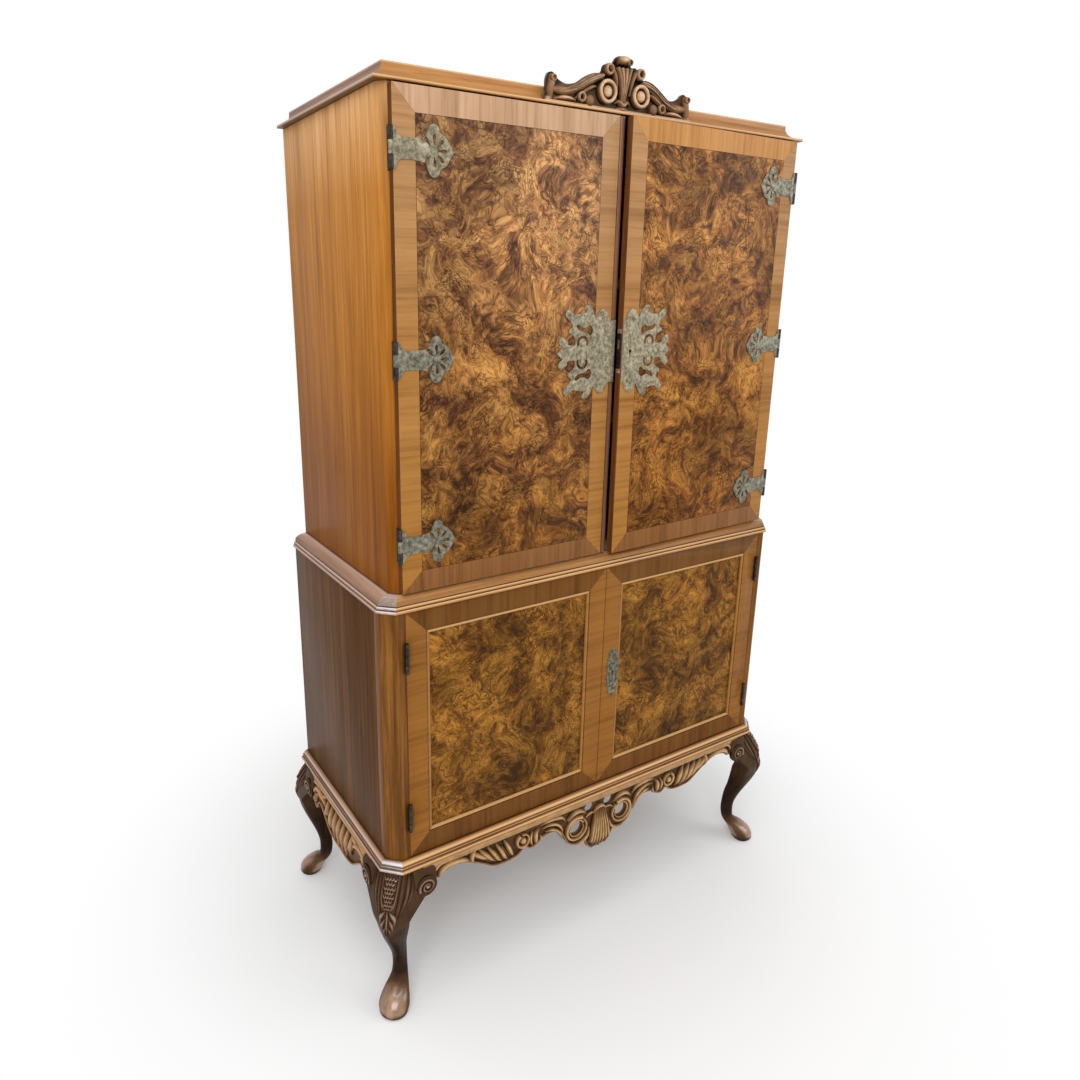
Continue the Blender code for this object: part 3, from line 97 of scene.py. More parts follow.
class Graph:
    """Adds nodes to a node tree and links them in one call."""

    def __init__(self, tree: bpy.types.NodeTree) -> None:
        """Takes the tree to build in.

        Args:
            tree: node tree of a material or of a group.
        """
        self.tree = tree

    def feed(self, socket: Socket, value: Value) -> None:
        """Links an output to a socket, or sets the socket's own value.

        Args:
            socket: input to fill.
            value: output socket, number or tuple.
        """
        if isinstance(value, Socket):
            self.tree.links.new(value, socket)
        else:
            socket.default_value = value

    def fill(self, node: bpy.types.Node, sockets: dict) -> None:
        """Fills a node's inputs, by name or index, with values or outputs."""
        for key, value in sockets.items():
            self.feed(node.inputs[key], value)

    def add(self, kind: str, sockets: Optional[dict] = None, **settings: object) -> bpy.types.Node:
        """Adds a node.

        Args:
            kind: node type.
            sockets: values or outputs by input name or index.
            settings: properties of the node.

        Returns:
            The node.
        """
        node = self.tree.nodes.new(kind)
        for name, value in settings.items():
            setattr(node, name, value)
        self.fill(node, sockets or {})
        return node

    def group(self, tree: bpy.types.NodeTree, vector: Value) -> bpy.types.NodeOutputs:
        """Outputs of a node group that reads a position."""
        return self.add("ShaderNodeGroup", {"Vector": vector}, node_tree=tree).outputs

    def math(self, operation: str, first: Value, second: Value = 0.0, third: float = 0.0) -> Socket:
        """Adds a Math node.

        Args:
            operation: name of the operation.
            first: first value.
            second: second value.
            third: third value, what a product is added to.

        Returns:
            The result.
        """
        return self.add("ShaderNodeMath", {0: first, 1: second, 2: third}, operation=operation).outputs[0]

    def times(self, first: Value, second: Value) -> Socket:
        """Product of two values."""
        return self.math("MULTIPLY", first, second)

    def inset(self, value: Value, low: float, high: float) -> Socket:
        """Distance from a value to the nearer of two limits."""
        return self.math("MINIMUM", self.math("SUBTRACT", value, low), self.math("SUBTRACT", high, value))

    def mix(self, factor: Value, first: Value, second: Value, blend: str = "MIX") -> Socket:
        """Mixes two colours.

        Args:
            factor: share of the second colour.
            first: first colour, an output or linear RGB.
            second: second colour, an output or linear RGB.
            blend: blend type.

        Returns:
            The mixed colour.
        """
        pair = [(*value, 1.0) if isinstance(value, tuple) else value for value in (first, second)]
        node = self.add("ShaderNodeMix", {0: factor, 6: pair[0], 7: pair[1]}, data_type="RGBA", blend_type=blend)
        return node.outputs[2]

    def tinted(self, colour: Value, by: Value, share: float = 1.0) -> Socket:
        """Colour multiplied by another, wholly or in part."""
        return self.mix(share, colour, by, "MULTIPLY")

    def relief(self) -> Socket:
        """Relief value that the mesh carries."""
        return self.add("ShaderNodeAttribute", attribute_name="relief").outputs["Fac"]

    def ramp(self, factor: Value, stops: Sequence[tuple]) -> Socket:
        """Colour ramp through the given stops.

        Args:
            factor: position on the ramp.
            stops: pairs of position and linear RGB colour or grey value.

        Returns:
            The colour.
        """
        node = self.add("ShaderNodeValToRGB", {0: factor})
        elements = node.color_ramp.elements
        while len(elements) < len(stops):
            elements.new(1.0)
        for element, (position, colour) in zip(elements, stops):
            element.position = position
            rgb = colour if isinstance(colour, tuple) else (colour, colour, colour)
            element.color = (*rgb, 1.0)
        return node.outputs[0]

    def noise(self, vector: Value, scale: float, detail: float = 3.0, roughness: float = 0.5,
              output: str = "Fac") -> Socket:
        """Fractal noise.

        Args:
            vector: where it is read.
            scale: cells in a metre.
            detail: octaves.
            roughness: strength of the finer octaves.
            output: Fac or Color.

        Returns:
            The noise.
        """
        node = self.add("ShaderNodeTexNoise", {"Vector": vector, "Scale": scale, "Detail": detail,
                                               "Roughness": roughness})
        return node.outputs[output]

    def step(self, value: Value, low: float, high: float) -> Socket:
        """Smooth step from 0 at low to 1 at high.

        Args:
            value: what is compared.
            low: value that gives 0.
            high: value that gives 1.

        Returns:
            The mask.
        """
        node = self.add("ShaderNodeMapRange", {0: value, 1: low, 2: high, 3: 0.0, 4: 1.0},
                        interpolation_type="SMOOTHSTEP")
        return node.outputs[0]

    def shifted(self, vector: Value, by: Value, strength: float) -> Socket:
        """Moves a position by a colour noise about its middle.

        Args:
            vector: position.
            by: colour noise.
            strength: metres moved for a full swing.

        Returns:
            The moved position.
        """
        centred = self.add("ShaderNodeVectorMath", {0: by, 1: (0.5, 0.5, 0.5)}, operation="SUBTRACT").outputs[0]
        node = self.add("ShaderNodeVectorMath", {0: centred, 1: (strength,) * 3, 2: vector},
                        operation="MULTIPLY_ADD")
        return node.outputs[0]

    def place(self, grain: tuple = (1.0, 1.0, 1.0), offset: tuple = (0.0, 0.0, 0.0), turn: float = 0.0) -> Socket:
        """Object coordinates, stretched, turned and shifted.

        Args:
            grain: scale along each axis.
            offset: shift after scaling.
            turn: turn about the upright axis.

        Returns:
            The position.
        """
        source = self.add("ShaderNodeTexCoord").outputs["Object"]
        node = self.add("ShaderNodeMapping", {"Vector": source, "Location": offset, "Rotation": (0.0, 0.0, turn),
                                              "Scale": grain})
        return node.outputs[0]


def new_group(name: str, outputs: Sequence[str]) -> tuple:
    """Starts a node group that reads a position.

    Args:
        name: name of the group.
        outputs: names of the outputs, all plain values.

    Returns:
        The graph, the position and the output node.
    """
    tree = bpy.data.node_groups.new(name, "ShaderNodeTree")
    tree.interface.new_socket(name="Vector", in_out="INPUT", socket_type="NodeSocketVector")
    for label in outputs:
        tree.interface.new_socket(name=label, in_out="OUTPUT", socket_type="NodeSocketFloat")
    graph = Graph(tree)
    return graph, graph.add("NodeGroupInput").outputs["Vector"], graph.add("NodeGroupOutput")


def build_burr_figure() -> bpy.types.NodeTree:
    """Swirling figure of burr veneer: tone, flares, dark veins and pips.

    Returns:
        The group.
    """
    graph, here, out = new_group("burr_figure", ("Tone", "Flares", "Veins", "Pips", "Clouds"))
    broad = graph.shifted(here, graph.noise(here, 5.5, 2.0, 0.5, "Color"), 0.15)
    curled = graph.shifted(broad, graph.noise(broad, 17.0, 2.0, 0.55, "Color"), 0.055)
    small = graph.shifted(curled, graph.noise(curled, 52.0, 2.0, 0.6, "Color"), 0.015)
    fine = graph.shifted(small, graph.noise(small, 150.0, 2.0, 0.6, "Color"), 0.004)
    tone = graph.math("ADD", graph.times(graph.noise(fine, 15.0, 5.0, 0.70), 0.60),
                      graph.times(graph.noise(fine, 58.0, 4.0, 0.65), 0.40))
    contour = graph.math("SINE", graph.times(graph.noise(small, 12.0, 1.0, 0.4), 95.0))
    finer = graph.math("SINE", graph.times(graph.noise(fine, 30.0, 2.0, 0.5), 70.0))
    where = graph.step(graph.noise(curled, 13.0, 3.0, 0.6), 0.40, 0.62)
    veins = graph.math("MAXIMUM", graph.times(graph.step(contour, 0.30, 1.0), where),
                       graph.times(graph.step(finer, 0.25, 1.0), 0.70))
    cells = graph.add("ShaderNodeTexVoronoi", {"Vector": small, "Scale": 120.0, "Randomness": 1.0}).outputs[0]
    rings = graph.step(graph.math("SINE", graph.times(cells, 13.0)), 0.1, 0.9)
    pips = graph.times(rings, graph.step(graph.noise(curled, 24.0, 3.0, 0.6), 0.44, 0.60))
    graph.fill(out, {"Tone": graph.step(tone, 0.34, 0.66), "Veins": veins, "Pips": pips,
                     "Flares": graph.step(graph.noise(small, 21.0, 3.0, 0.55), 0.50, 0.66),
                     "Clouds": graph.step(graph.noise(broad, 7.0, 3.0, 0.55), 0.36, 0.64)})
    return graph.tree


def build_straight_grain() -> bpy.types.NodeTree:
    """Streaks and pores along a fibre, in coordinates that are already stretched.

    Returns:
        The group.
    """
    graph, here, out = new_group("straight_grain", ("Streaks", "Bands", "Pores"))
    bent = graph.shifted(here, graph.noise(here, 0.35, 2.0, 0.5, "Color"), 0.9)
    graph.fill(out, {"Streaks": graph.noise(bent, 4.2, 5.0, 0.65), "Bands": graph.noise(bent, 0.75, 2.0, 0.5),
                     "Pores": graph.step(graph.noise(bent, 26.0, 2.0, 0.5), 0.60, 0.72)})
    return graph.tree


def build_surface_age() -> bpy.types.NodeTree:
    """Marks of use: patches of dulled polish, fine scratches and wear on the edges.

    Returns:
        The group.
    """
    graph, here, out = new_group("surface_age", ("Patches", "Scratches", "Edges"))
    wear_and_painted_highlight = graph.add("ShaderNodeNewGeometry").outputs["Pointiness"]
    graph.fill(out, {"Patches": graph.noise(here, 7.0, 4.0, 0.6), "Edges": graph.step(wear_and_painted_highlight, 0.52, 0.60),
                     "Scratches": graph.step(graph.noise(here, 420.0, 3.0, 0.7), 0.62, 0.80)})
    return graph.tree


BURR_FIGURE = build_burr_figure()
STRAIGHT_GRAIN = build_straight_grain()
SURFACE_AGE = build_surface_age()


@dataclass(frozen=True)
class Polish:
    """Gloss of a polished surface."""

    roughness: float = 0.34
    coat: float = 0.0
    coat_roughness: float = 0.15
    specular: float = 0.10

    def apply(self, graph: Graph, shader: bpy.types.Node, uneven: Value, spread: float = 0.16) -> None:
        """Sets the gloss on the shader's own sockets, uneven only in its roughness.

        Args:
            graph: graph of the material.
            shader: Principled shader.
            uneven: value about 0.5 that makes the gloss uneven.
            spread: change of roughness for a full swing.
        """
        rough = graph.math("MULTIPLY_ADD", uneven, spread, self.roughness - spread / 2)
        graph.fill(shader, {"Roughness": rough, "Coat Weight": self.coat, "Coat Roughness": self.coat_roughness,
                            "Specular IOR Level": self.specular})


@dataclass(frozen=True)
class Finish:
    """A finish: what every material of the cabinet shares."""

    name: str

    def start(self) -> tuple:
        """Starts a material.

        Returns:
            The material, its graph and its shader node.
        """
        made = bpy.data.materials.new(self.name)
        made.use_nodes = True
        graph = Graph(made.node_tree)
        return made, graph, made.node_tree.nodes["Principled BSDF"]

    def bump(self, graph: Graph, shader: bpy.types.Node, height: Value, strength: float, distance: float) -> None:
        """Gives a shader a fine relief.

        Args:
            graph: graph of the material.
            shader: its shader.
            height: height over the surface.
            strength: share of the full effect.
            distance: metres for a height of 1.
        """
        node = graph.add("ShaderNodeBump", {"Height": height, "Strength": strength, "Distance": distance})
        graph.feed(shader.inputs["Normal"], node.outputs[0])


@dataclass(frozen=True)
class StraightWood(Finish):
    """Straight-grained walnut, in one direction."""

    grain: Grain = Grain.ALONG_Z
    dark: Colour = (0.060, 0.022, 0.007)
    middle: Colour = (0.250, 0.098, 0.024)
    light: Colour = (0.470, 0.210, 0.062)
    polish: Polish = field(default_factory=Polish)
    pores: float = 0.40
    heights: tuple = ()

    def colour(self, graph: Graph, vector: Value) -> tuple:
        """Colour and masks of the grain.

        Args:
            graph: graph of the material.
            vector: stretched position.

        Returns:
            The colour and the outputs of the grain group.
        """
        grain = graph.group(STRAIGHT_GRAIN, vector)
        mixed = graph.math("ADD", graph.times(grain["Streaks"], 0.6), graph.times(grain["Bands"], 0.4))
        tone = graph.ramp(mixed, ((0.34, self.dark), (0.50, self.middle), (0.66, self.light)))
        pored = graph.mix(graph.times(grain["Pores"], self.pores), tone, tuple(0.55 * value for value in self.dark))
        return pored, grain

    def shaded(self, graph: Graph, colour: Value) -> Socket:
        """Colour with the shading of its shape, none on flat boards.

        Args:
            graph: graph of the material.
            colour: colour of the wood.

        Returns:
            The colour.
        """
        return colour

    def material(self) -> Material:
        """Builds the material.

        Returns:
            The material.
        """
        made, graph, shader = self.start()
        colour, grain = self.colour(graph, graph.place(self.grain.value))
        age = graph.group(SURFACE_AGE, graph.place())
        # Heights tint the colour by height: painted shade low down and a painted sheen towards the top.
        if self.heights:
            parts = graph.add("ShaderNodeSeparateXYZ", {0: graph.place((0.5, 0.5, 0.5))}).outputs
            colour = graph.tinted(colour, graph.ramp(parts[2], self.heights))
        graph.feed(shader.inputs["Base Color"], self.shaded(graph, colour))
        self.polish.apply(graph, shader, age["Patches"])
        self.bump(graph, shader, grain["Pores"], -0.25, 0.0003)
        return made


@dataclass(frozen=True)
class MouldedWood(StraightWood):
    """Walnut of a moulding, with painted shade in its sunk lines and a painted highlight on its rounded edges."""

    def shaded(self, graph: Graph, colour: Value) -> Socket:
        """Colour with painted shade in the moulding's sunk lines and a painted highlight on its rounded edges.

        Args:
            graph: graph of the material.
            colour: colour of the wood.

        Returns:
            The colour.
        """
        relief = graph.relief()
        # Painted shade where the relief is low, in the sunk lines and at the foot of hollows.
        sunk = graph.tinted(colour, graph.ramp(relief, ((0.0, 0.06), (0.30, 0.34), (0.62, 1.0))))
        # Painted highlight, pale and bluish, on the rounded edges where the relief is high.
        rubbed_gloss_and_painted_highlight = graph.times(graph.step(relief, 0.62, 0.90), 0.90)
        wear_and_painted_highlight = tuple(min(share * value, 1.0) for share, value in zip((1.30, 1.60, 2.20), self.light))
        return graph.mix(rubbed_gloss_and_painted_highlight, sunk, wear_and_painted_highlight)


@dataclass(frozen=True)
class Panel:
    """Where a banded panel lies: its corners in its own closed place, and its turn about a hinge."""

    x0: float
    x1: float
    z0: float
    z1: float
    turned: bool = False

    def position(self, graph: Graph) -> Socket:
        """Position in the panel's closed place.

        Args:
            graph: graph of the material.

        Returns:
            The position.
        """
        if not self.turned:
            return graph.place()
        shift = RIGHT_HINGE - Matrix.Rotation(-AJAR, 3, "Z") @ RIGHT_HINGE
        return graph.place(offset=tuple(shift), turn=-AJAR)


@dataclass(frozen=True)
class BurrTones:
    """Colours of a burr, from its dark veins to its golden flares."""

    vein: Colour = (0.022, 0.009, 0.005)
    dark: Colour = (0.068, 0.026, 0.010)
    brown: Colour = (0.195, 0.076, 0.022)
    warm: Colour = (0.385, 0.158, 0.036)
    gold: Colour = (0.600, 0.285, 0.066)


@dataclass(frozen=True)
class BandedVeneer(Finish):
    """Veneer of a door: mitred bands across the grain round a burr field, with a dark line between."""

    panel: Panel = Panel(0.0, 1.0, 0.0, 1.0)
    band: float = 0.036
    line: float = 0.0007
    hairline: float = 0.0006
    dark_line: Colour = (0.030, 0.012, 0.006)
    mitre_line: Colour = (0.040, 0.016, 0.006)
    # Colour of the painted highlight along a bead.
    rubbed_gloss_and_painted_highlight: Colour = (0.620, 0.360, 0.150)
    burr: Optional[BurrTones] = None
    figure_turn: float = 0.0
    figure_scale: float = 1.0
    bead: float = 0.0
    # stile, rail and lift tint the bands and the burr from foot to head: painted light, darker at the foot with a
    # painted sheen towards the head.
    stile: tuple = ((0.385, 0.168, 0.034), (0.385, 0.180, 0.050), (0.415, 0.230, 0.105))
    rail: tuple = ((0.240, 0.100, 0.030), (0.500, 0.270, 0.125))
    lift: tuple = (0.78, 0.94, (1.06, 1.14, 1.50))
    polish: Polish = field(default_factory=lambda: Polish(0.28, 0.0, 0.12, 0.05))

    def burr_colour(self, graph: Graph, here: Value, height: Value) -> tuple:
        """Colour of the burr.

        Args:
            graph: graph of the material.
            here: position in the panel's closed place.
            height: 0 at the panel's foot and 1 at its head.

        Returns:
            The colour and the outputs of the figure.
        """
        node = graph.add("ShaderNodeMapping", {"Vector": here, "Rotation": (0.0, self.figure_turn, 0.0),
                                               "Scale": (self.figure_scale,) * 3})
        figure = graph.group(BURR_FIGURE, node.outputs[0])
        tones = self.burr
        tone = graph.ramp(figure["Tone"], ((0.0, tones.dark), (0.36, tones.brown), (0.66, tones.warm),
                                           (1.0, tones.gold)))
        flared = graph.mix(graph.times(figure["Flares"], 0.50), tone, tones.gold)
        clouded = graph.tinted(flared, graph.ramp(figure["Clouds"], ((0.0, 0.60), (1.0, 1.10))))
        veined = graph.mix(graph.times(figure["Veins"], 0.66), clouded, tones.vein)
        pipped = graph.mix(graph.times(figure["Pips"], 0.70), veined, tones.vein)
        # The lift ramp paints a sheen towards the panel's head.
        return graph.tinted(pipped, graph.ramp(height, tuple(zip((0.0, 0.5, 1.0), self.lift)))), figure

    def band_colour(self, graph: Graph, here: Value, height: Value, side_mask: Value) -> tuple:
        """Colour of the bands, whose grain runs across them.

        Args:
            graph: graph of the material.
            here: position in the panel's closed place.
            height: 0 at the panel's foot and 1 at its head.
            side_mask: 1 on the upright bands.

        Returns:
            The colour and the pores.
        """
        wood = StraightWood("band", dark=(0.62, 0.56, 0.50), middle=(0.98, 0.97, 0.95), light=(1.16, 1.20, 1.26),
                            pores=0.22)
        scaled = [graph.add("ShaderNodeVectorMath", {0: here, 1: grain.value}, operation="MULTIPLY").outputs[0]
                  for grain in (Grain.ALONG_Z, Grain.ALONG_X)]
        (level, grain), (upright, _) = (wood.colour(graph, vector) for vector in scaled)
        # Painted light by height: darker at the foot, a painted sheen towards the head.
        upright = graph.tinted(upright, graph.ramp(height, tuple(zip((0.0, 0.5, 1.0), self.stile))))
        level = graph.tinted(level, graph.ramp(height, tuple(zip((0.0, 1.0), self.rail))))
        return graph.mix(side_mask, level, upright), grain["Pores"]

    def material(self) -> Material:
        """Builds the material.

        Returns:
            The material.
        """
        made, graph, shader = self.start()
        here = self.panel.position(graph)
        parts = graph.add("ShaderNodeSeparateXYZ", {0: here}).outputs
        from_side = graph.inset(parts[0], self.panel.x0, self.panel.x1)
        from_end = graph.inset(parts[2], self.panel.z0, self.panel.z1)
        side_mask = graph.math("LESS_THAN", from_side, from_end)
        height = graph.add("ShaderNodeMapRange", {0: parts[2], 1: self.panel.z0, 2: self.panel.z1}).outputs[0]
        colour, fine = self.band_colour(graph, here, height, side_mask)
        inset = graph.math("MINIMUM", from_side, from_end)
        mitre = graph.math("ABSOLUTE", graph.math("SUBTRACT", from_side, from_end))
        joint = graph.times(graph.math("LESS_THAN", mitre, self.hairline), 0.28)
        colour = graph.mix(joint, colour, self.mitre_line)
        if self.burr:
            burr, figure = self.burr_colour(graph, here, height)
            lined = graph.mix(graph.math("GREATER_THAN", inset, self.band), colour, self.dark_line)
            colour = graph.mix(graph.math("GREATER_THAN", inset, self.band + self.line), lined, burr)
            fine = graph.math("ADD", fine, figure["Veins"])
        if self.bead:
            # Painted highlight along the bead, stronger on the level rails than on the uprights, with painted shade in
            # the quirk beside it.
            wear_and_painted_highlight = graph.math("SUBTRACT", 0.80, graph.times(side_mask, 0.60))
            wear_and_painted_highlight = graph.times(graph.step(inset, self.bead, self.bead + 0.0008), wear_and_painted_highlight)
            colour = graph.mix(wear_and_painted_highlight, colour, self.rubbed_gloss_and_painted_highlight)
            beside = graph.math("ABSOLUTE", graph.math("SUBTRACT", inset, self.bead - self.hairline))
            quirk = graph.times(graph.math("LESS_THAN", beside, self.hairline), 0.75)
            colour = graph.mix(quirk, colour, self.dark_line)
        age = graph.group(SURFACE_AGE, here)
        graph.feed(shader.inputs["Base Color"], colour)
        self.polish.apply(graph, shader, age["Patches"], 0.14)
        self.bump(graph, shader, fine, -0.10, 0.0003)
        return made


@dataclass(frozen=True)
class CarvedWood(Finish):
    """Carved walnut: painted shade in the hollows, a painted highlight on what stands out, and wear on its edges."""

    # deep is the painted shade in the hollows, top the painted highlight on the crowns.
    deep: Colour = (0.030, 0.012, 0.005)
    middle: Colour = (0.205, 0.098, 0.036)
    top: Colour = (0.600, 0.365, 0.165)
    grain: Grain = Grain.ALONG_X
    rough: float = 0.34
    gloss: float = 0.10
    coat_ior: float = 1.5
    specular: float = 0.12
    low: float = 0.14
    share: float = 0.60
    wear: float = 0.20
    patchy: float = 0.42

    def material(self) -> Material:
        """Builds the material.

        Returns:
            The material.
        """
        made, graph, shader = self.start()
        relief = graph.relief()
        here = graph.place()
        age = graph.group(SURFACE_AGE, here)
        grain = graph.group(STRAIGHT_GRAIN, graph.place(self.grain.value))
        uneven = graph.math("MULTIPLY_ADD", graph.noise(here, 55.0, 4.0, 0.6), self.patchy, -0.5 * self.patchy)
        level = graph.math("ADD", relief, uneven)
        half_way = self.low + self.share * (1.0 - self.low)
        # Relief sets painted shade in the hollows and a painted highlight on the crowns.
        tone = graph.ramp(level, ((self.low, self.deep), (half_way, self.middle), (1.0, self.top)))
        streaked = graph.tinted(tone, graph.ramp(grain["Streaks"], ((0.30, 0.55), (0.70, 1.30))), 0.55)
        wear_and_painted_highlight = graph.mix(graph.times(age["Edges"], self.wear), streaked, self.top)
        graph.feed(shader.inputs["Base Color"], wear_and_painted_highlight)
        Polish(self.rough + 0.10, 0.0, 0.20, self.specular).apply(graph, shader, level, -0.20)
        rubbed_gloss_and_painted_highlight = graph.times(graph.step(relief, 0.60, 0.80), self.gloss)
        graph.fill(shader, {"Coat Weight": rubbed_gloss_and_painted_highlight, "Coat IOR": self.coat_ior})
        fibres = graph.math("ADD", grain["Streaks"], graph.noise(here, 350.0, 3.0, 0.6))
        self.bump(graph, shader, fibres, 0.35, 0.0004)
        return made


@dataclass(frozen=True)
class AgedMetal(Finish):
    """Brass or iron with tarnish; plates with relief take painted shade on their sides and a painted highlight on their
    eased rims and pin heads.
    """

    deep: Colour = (0.105, 0.085, 0.048)
    body: Colour = (0.260, 0.222, 0.138)
    bright: Colour = (0.460, 0.410, 0.285)
    metallic: float = 0.40
    rough: float = 0.46
    painted_relief_light: bool = False

    def material(self) -> Material:
        """Builds the material.

        Returns:
            The material.
        """
        made, graph, shader = self.start()
        here = graph.place()
        age = graph.group(SURFACE_AGE, here)
        mottle = graph.noise(here, 150.0, 5.0, 0.68)
        tone = graph.ramp(mottle, ((0.34, self.deep), (0.49, self.body), (0.68, self.bright)))
        broad = graph.ramp(graph.noise(here, 28.0, 3.0, 0.6), ((0.32, 0.78), (0.68, 1.12)))
        tarnish_and_painted_light = graph.tinted(tone, broad)
        if self.painted_relief_light:
            # Painted shade where the relief is low, on the plates' sides, and a painted highlight on their rims and pin
            # heads.
            relief = graph.relief()
            shaded = graph.tinted(tarnish_and_painted_light, graph.ramp(relief, ((0.0, 0.25), (0.30, 0.80), (0.50, 1.0))))
            tarnish_and_painted_light = graph.mix(graph.times(graph.step(relief, 0.55, 1.0), 0.55), shaded, self.bright)
        graph.fill(shader, {"Base Color": tarnish_and_painted_light, "Metallic": self.metallic,
                            "Roughness": graph.math("MULTIPLY_ADD", mottle, -0.25, self.rough + 0.12)})
        pits = graph.math("ADD", mottle, graph.times(age["Scratches"], -0.6))
        self.bump(graph, shader, pits, 0.45, 0.0005)
        return made


def put_in_scene(name: str, data: bpy.types.ID) -> bpy.types.Object:
    """Makes an object of its data and links it.

    Args:
        name: name of the object.
        data: its mesh, camera or lamp.

    Returns:
        The object.
    """
    made = bpy.data.objects.new(name, data)
    bpy.context.scene.collection.objects.link(made)
    return made


def finish_piece(name: str, bm: BMesh, materials: Sequence[Material], body: Body, slot: Slot,
                 replaces: Iterable[str] = (), smooth: float = 35.0, relief: Sequence[float] = ()) -> None:
    """Makes a piece of a mesh, dresses it and puts it on its body.

    Args:
        name: name of the piece.
        bm: its mesh, in place; it is freed.
        materials: materials by index.
        body: body that carries it.
        slot: slot of the record; not used.
        replaces: nodes that it stands for.
        smooth: angle in degrees above which an edge stays sharp.
        relief: relief value of each vertex, for a look that reads it.
    """
    mesh = bpy.data.meshes.new(name)
    bm.to_mesh(mesh)
    bm.free()
    for made in materials:
        mesh.materials.append(made)
    mesh.shade_smooth()
    mesh.set_sharp_from_angle(angle=math.radians(smooth))
    if relief:
        mesh.attributes.new("relief", "FLOAT", "POINT").data.foreach_set("value", relief)
    piece = put_in_scene(name, mesh)
    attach(piece, body.value)
    nodes = list(replaces)
    if nodes:
        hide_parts(*nodes)
    LOG.info("%s: %d faces on %s", name, len(mesh.polygons), body.value)


def dress_nodes(material: Material, *nodes: str) -> None:
    """Gives solids that stay visible their material.

    Args:
        material: their material.
        nodes: names of the nodes.
    """
    for node in nodes:
        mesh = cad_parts[node].data
        mesh.materials.clear()
        mesh.materials.append(material)
        LOG.info("%s dressed with %s", node, material.name)


def node_copy(node: str) -> BMesh:
    """Merged copy of a solid, with its flat faces made whole.

    Args:
        node: name of the node.

    Returns:
        The copy's mesh.
    """
    bm = bmesh.new()
    bm.from_mesh(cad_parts[node].data)
    bmesh.ops.remove_doubles(bm, verts=bm.verts, dist=1e-6)
    bmesh.ops.dissolve_limit(bm, angle_limit=math.radians(0.5), verts=bm.verts, edges=bm.edges)
    return bm


def round_off(bm: BMesh, edges: list, width: float) -> None:
    """Rounds edges with two faces across.

    Args:
        bm: mesh.
        edges: its edges to round.
        width: width of the rounding.
    """
    bmesh.ops.bevel(bm, geom=edges, offset=width, offset_type="OFFSET", segments=2, profile=0.5,
                    affect="EDGES", clamp_overlap=True, material=-1)


def ease_edges(bm: BMesh, width: float, shortest: float, turn: float = 20.0) -> None:
    """Rounds the long sharp edges of a mesh.

    Args:
        bm: mesh.
        width: width of the rounding.
        shortest: length under which an edge is left alone.
        turn: angle in degrees from which an edge counts as sharp.
    """
    round_off(bm, [edge for edge in bm.edges if edge.is_manifold and edge.calc_length() > shortest
                   and edge.calc_face_angle() > math.radians(turn)], width)


def part_faces(bm: BMesh, lean: float) -> None:
    """Gives the second material to the faces that look back.

    Args:
        bm: mesh.
        lean: a face looks back when the y of its normal is above this.
    """
    for face in bm.faces:
        face.material_index = int(face.normal.y > lean)


def flip(bm: BMesh) -> None:
    """Mirrors a mesh across the middle line."""
    bmesh.ops.scale(bm, verts=bm.verts, vec=(-1.0, 1.0, 1.0))
    bmesh.ops.reverse_faces(bm, faces=bm.faces)


def new_block(x0: float, x1: float, y0: float, y1: float, z0: float, z1: float) -> BMesh:
    """Block between two corners.

    Args:
        x0: lowest x.
        x1: highest x.
        y0: lowest y.
        y1: highest y.
        z0: lowest z.
        z1: highest z.

    Returns:
        The mesh.
    """
    bm = bmesh.new()
    bmesh.ops.create_cube(bm, size=1.0)
    bmesh.ops.scale(bm, verts=bm.verts, vec=(x1 - x0, y1 - y0, z1 - z0))
    bmesh.ops.translate(bm, verts=bm.verts, vec=((x0 + x1) / 2, (y0 + y1) / 2, (z0 + z1) / 2))
    return bm


def passed(value: float, low: float, span: float) -> float:
    """Share of a span that a value has passed, from 0 to 1."""
    return min(max((value - low) / span, 0.0), 1.0)


def between(around: Iterable[Sequence[float]], t: float) -> tuple:
    """Point of a smooth curve between the middle two of four points.

    Args:
        around: the four points, of any dimension.
        t: share of the way.

    Returns:
        The point.
    """
    return tuple(0.5 * (2 * b + (c - a) * t + (2 * a - 5 * b + 4 * c - d) * t ** 2
                        + (3 * b - a - 3 * c + d) * t ** 3) for a, b, c, d in zip(*around))


def smooth_curve(points: Sequence[Sequence[float]], steps: int, closed: bool = False) -> list[tuple]:
    """Smooth curve through points.

    Args:
        points: points of any dimension.
        steps: pieces between two points.
        closed: whether the last point joins the first.

    Returns:
        Points along the curve.
    """
    count = len(points)
    line = []
    for i in range(count if closed else count - 1):
        if closed:
            around = [points[(i + k) % count] for k in (-1, 0, 1, 2)]
        else:
            around = [points[min(max(i + k, 0), count - 1)] for k in (-1, 0, 1, 2)]
        line += [between(around, step / steps) for step in range(steps)]
    if not closed:
        line.append(tuple(points[-1]))
    return line


def ellipse(middle: Sequence[float], half: Point, turns: Iterable[float] = range(0, 360, 30)) -> list[Point]:
    """Points on an ellipse.

    Args:
        middle: its middle.
        half: its half widths, negative to mirror it.
        turns: angle of each point in degrees.

    Returns:
        The points.
    """
    return [(middle[0] + half[0] * math.cos(math.radians(turn)), middle[1] + half[1] * math.sin(math.radians(turn)))
            for turn in turns]


def rectangle(u: Point, v: Point) -> list[Point]:
    """Corners of a rectangle between two places across and two up."""
    return [(u[0], v[0]), (u[1], v[0]), (u[1], v[1]), (u[0], v[1])]


def both_hands(right: list[Point]) -> list[Point]:
    """Whole outline from its right half, which starts on the middle line."""
    return right + [(-u, v) for u, v in reversed(right) if u > 1e-6]


